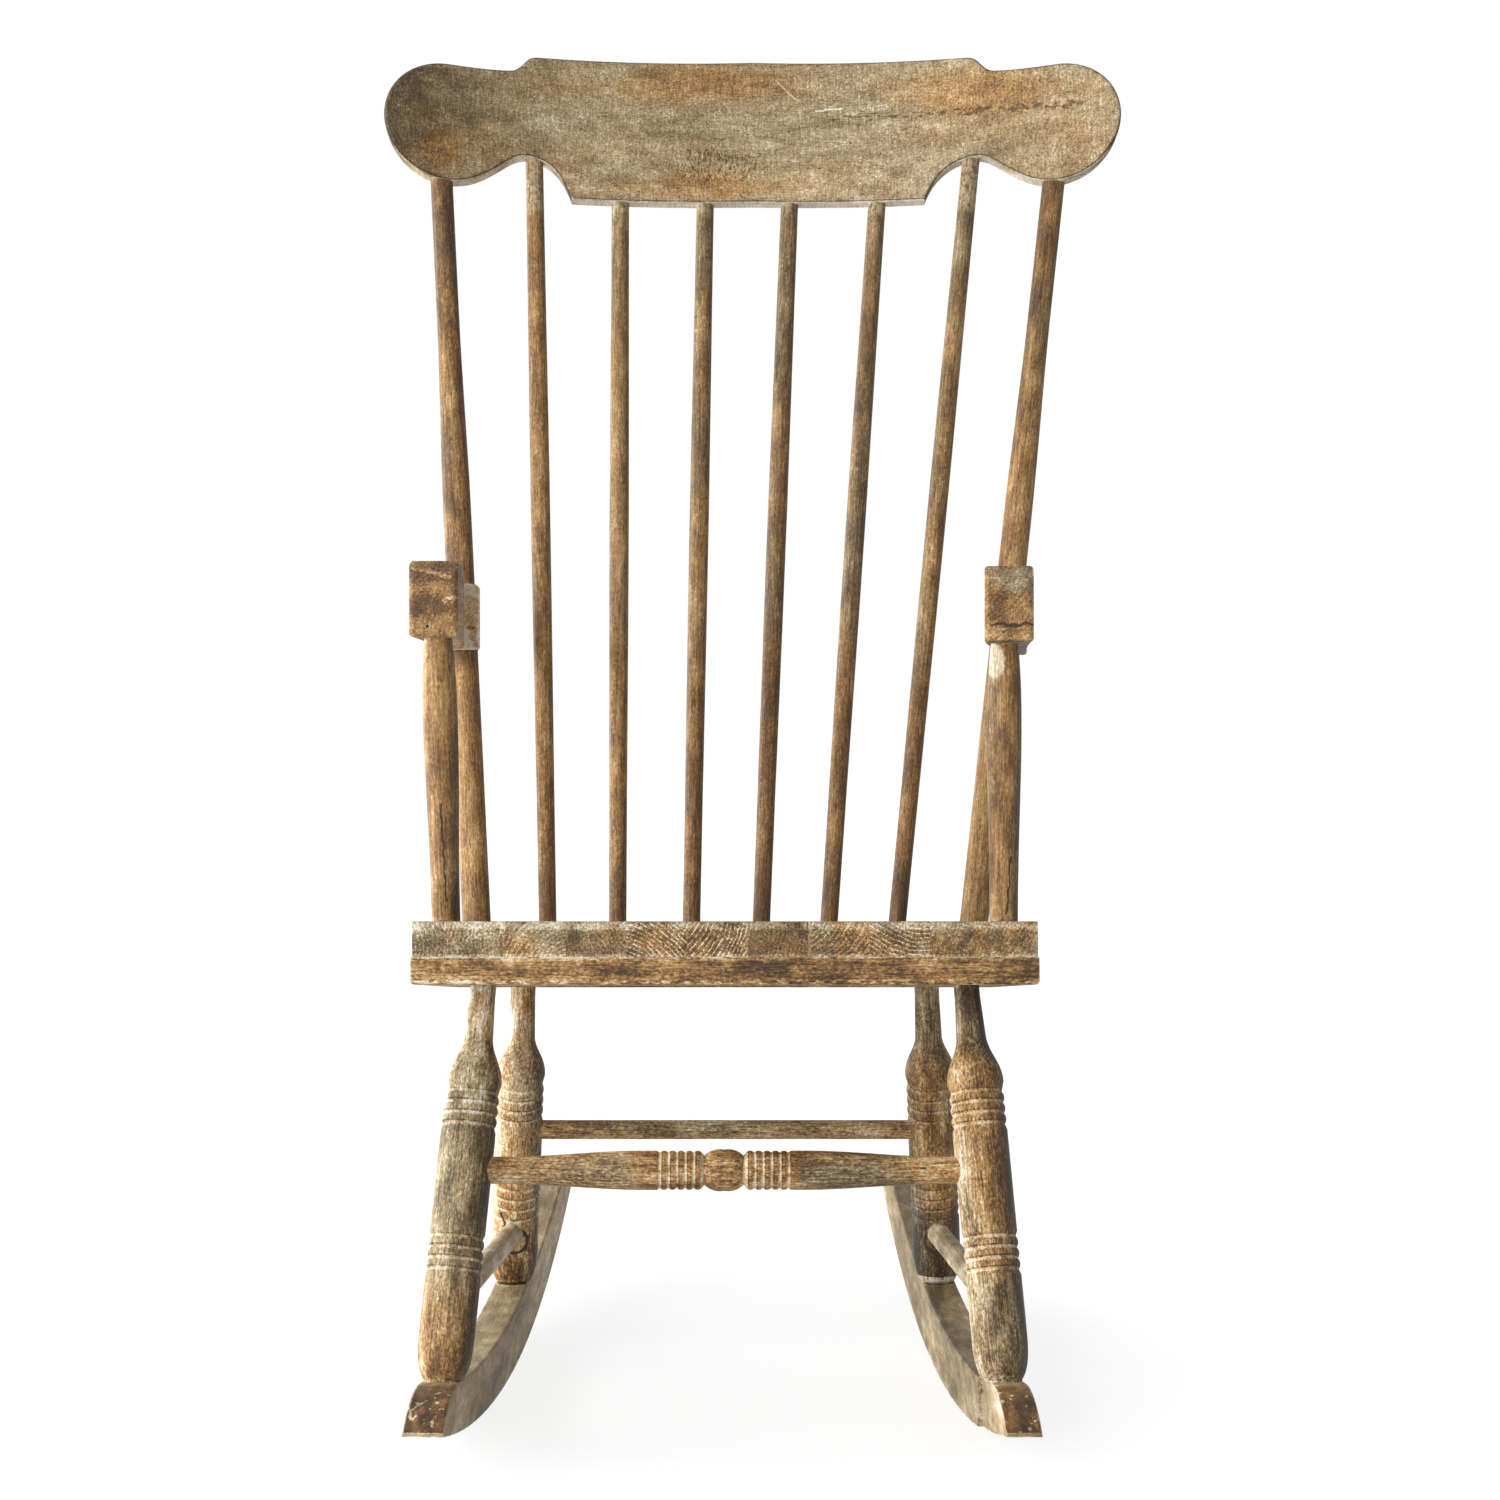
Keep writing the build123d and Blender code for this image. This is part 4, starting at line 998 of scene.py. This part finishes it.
rust = Finish("rusted_steel")
place = rust.node("ShaderNodeTexCoord", output=3)
rusty = rust.fade(rust.noise(place, RUST_PATCHES, 4.0, 0.6), 0.4, 0.55)
speckle = rust.noise(place, RUST_SPECKLES, 3.0)
brown = rust.mix(RUST_BROWN, RUST_DARK, speckle)
rust.plug(rust.surface.inputs["Base Color"], rust.mix(BARE_STEEL, brown, rusty))
rust.plug(rust.surface.inputs["Metallic"], 1 - rusty)
rust.plug(rust.surface.inputs["Roughness"], rusty * 0.4 + 0.42)
relief = {"Height": speckle * rusty, "Strength": 0.5, "Distance": RUST_DEPTH}
rust.plug(rust.surface.inputs["Normal"], rust.node("ShaderNodeBump", None, relief))
iron = [name for name in nodes if slots[name] == "steel"]
for name in iron:
    finish_with(nodes[name], rust.material)
print("iron pieces:", ", ".join(iron))

# %% [markdown]
# ## Floor, light and camera
#
# In a catalogue picture the floor melts into the backdrop. A sheet of white paper does this in a studio.
# Here the floor shines white for the camera, and only under the chair some matte paper is mixed in, so
# that the chair keeps a soft shadow. The light on the wood comes from lamps and world alone.

# %% Floor
FLOOR_HALF = 30.0  # half the width of the sheet, m
SHADOW_REACH = (0.42, 0.55)  # how far the soft shadow lies across and along, m
SHADOW_RIM = (1.25, 0.6)  # it is gone at the first and full at the second, in shares of its reach
SHADOW_SHARE = 0.24  # of matte paper where it is full
PAPER_WHITE, PAPER_GREY = 1.12, 0.85

sheet = bpy.data.meshes.new("floor")
signs = ((-1, -1), (1, -1), (1, 1), (-1, 1))
corners = [(x * FLOOR_HALF, y * FLOOR_HALF, 0) for x, y in signs]
sheet.from_pydata(corners, [], [(0, 1, 2, 3)])
floor = bpy.data.objects.new("floor", sheet)
bpy.context.scene.collection.objects.link(floor)

paper = Finish("floor_paper")
white = paper.node("ShaderNodeEmission", None, {"Color": (1, 1, 1), "Strength": PAPER_WHITE})
matte = paper.node("ShaderNodeBsdfDiffuse", None, {"Color": (PAPER_GREY,) * 3})
here = paper.node("ShaderNodeTexCoord", output=3)
off = paper.vector("MULTIPLY", here, (1 / SHADOW_REACH[0], 1 / SHADOW_REACH[1], 0))
shaded = paper.fade(paper.vector("LENGTH", off, output=1), *SHADOW_RIM) * SHADOW_SHARE
glow = paper.backdrop_seen() * (1 - shaded)
cover = paper.node("ShaderNodeMixShader", None, {0: glow, 1: matte, 2: white})
paper.plug(paper.tree.nodes["Material Output"].inputs["Surface"], cover)
finish_with(floor, paper.material)
print("floor laid:", floor.name)

# %% [markdown]
# The world is dim for the wood and white for the camera. Mirror and glass rays get the white too, so
# that a shiny nail would show the same studio that the camera sees.

# %% World
WORLD_DIM, WORLD_WHITE = 0.30, 1.05

world = bpy.data.worlds.new("studio")
bpy.context.scene.world = world
world.use_nodes = True
air = Net(world.node_tree)
sky = air.tree.nodes["Background"]
air.plug(sky.inputs["Color"], (0.96, 0.98, 1.0))
air.plug(sky.inputs["Strength"], air.backdrop_seen() * (WORLD_WHITE - WORLD_DIM) + WORLD_DIM)
print("world light for the wood:", WORLD_DIM)

# %% [markdown]
# A chair of round sticks needs light from one side, or it looks like a drawing. The big lamp stands where
# a window would, on the left, a second one in front opens the shadows, and a third touches the rear.

# %% Lamps
LAMPS = {
    # where it stands and how wide it is, m, and its power, W
    "window": ((-3.0, -1.3, 1.3), 2.2, 112.0),
    "front": ((-1.6, -4.0, 1.0), 2.2, 55.0),
    "left_back": ((-2.2, 1.4, 0.9), 1.2, 40.0),
}
LIT_POINT = Vector((0, 0, 0.6))  # the lamps look at the middle of the chair
for name, (stand, size, watts) in LAMPS.items():
    light = bpy.data.lights.new(name, "AREA")
    light.size = size
    light.energy = watts
    lamp = bpy.data.objects.new(name, light)
    lamp.location = stand
    lamp.rotation_euler = (LIT_POINT - Vector(stand)).to_track_quat("-Z", "Y").to_euler()
    bpy.context.scene.collection.objects.link(lamp)
print("lamps:", ", ".join(LAMPS))

# %% [markdown]
# The camera stands straight in front, a little below the height of the arms. Its lens is shifted instead
# of tilted, as an architect's camera does, so that upright lines stay upright.

# %% Camera
VIEW_WIDTH = 1500  # the frame's width, px
FOCAL_LENGTH = 3185  # px
FRAME_SHIFT = 25  # how far the frame's middle is off the lens's axis, right and down, px
EYE = (-0.0244, -2.6905, 0.5386)

camera = bpy.data.cameras.new("camera")
camera.sensor_width = 36.0
camera.lens = camera.sensor_width * FOCAL_LENGTH / VIEW_WIDTH
camera.shift_x = FRAME_SHIFT / VIEW_WIDTH
camera.shift_y = -FRAME_SHIFT / VIEW_WIDTH
eye = bpy.data.objects.new("camera", camera)
eye.location = EYE
eye.rotation_euler = (math.pi / 2, 0, 0)
bpy.context.scene.collection.objects.link(eye)
bpy.context.scene.camera = eye
bpy.context.scene.view_settings.view_transform = "Standard"
print("lens, mm:", round(camera.lens, 1))

# %% [markdown]
# The woods are only colour and relief, so the solids keep their size.
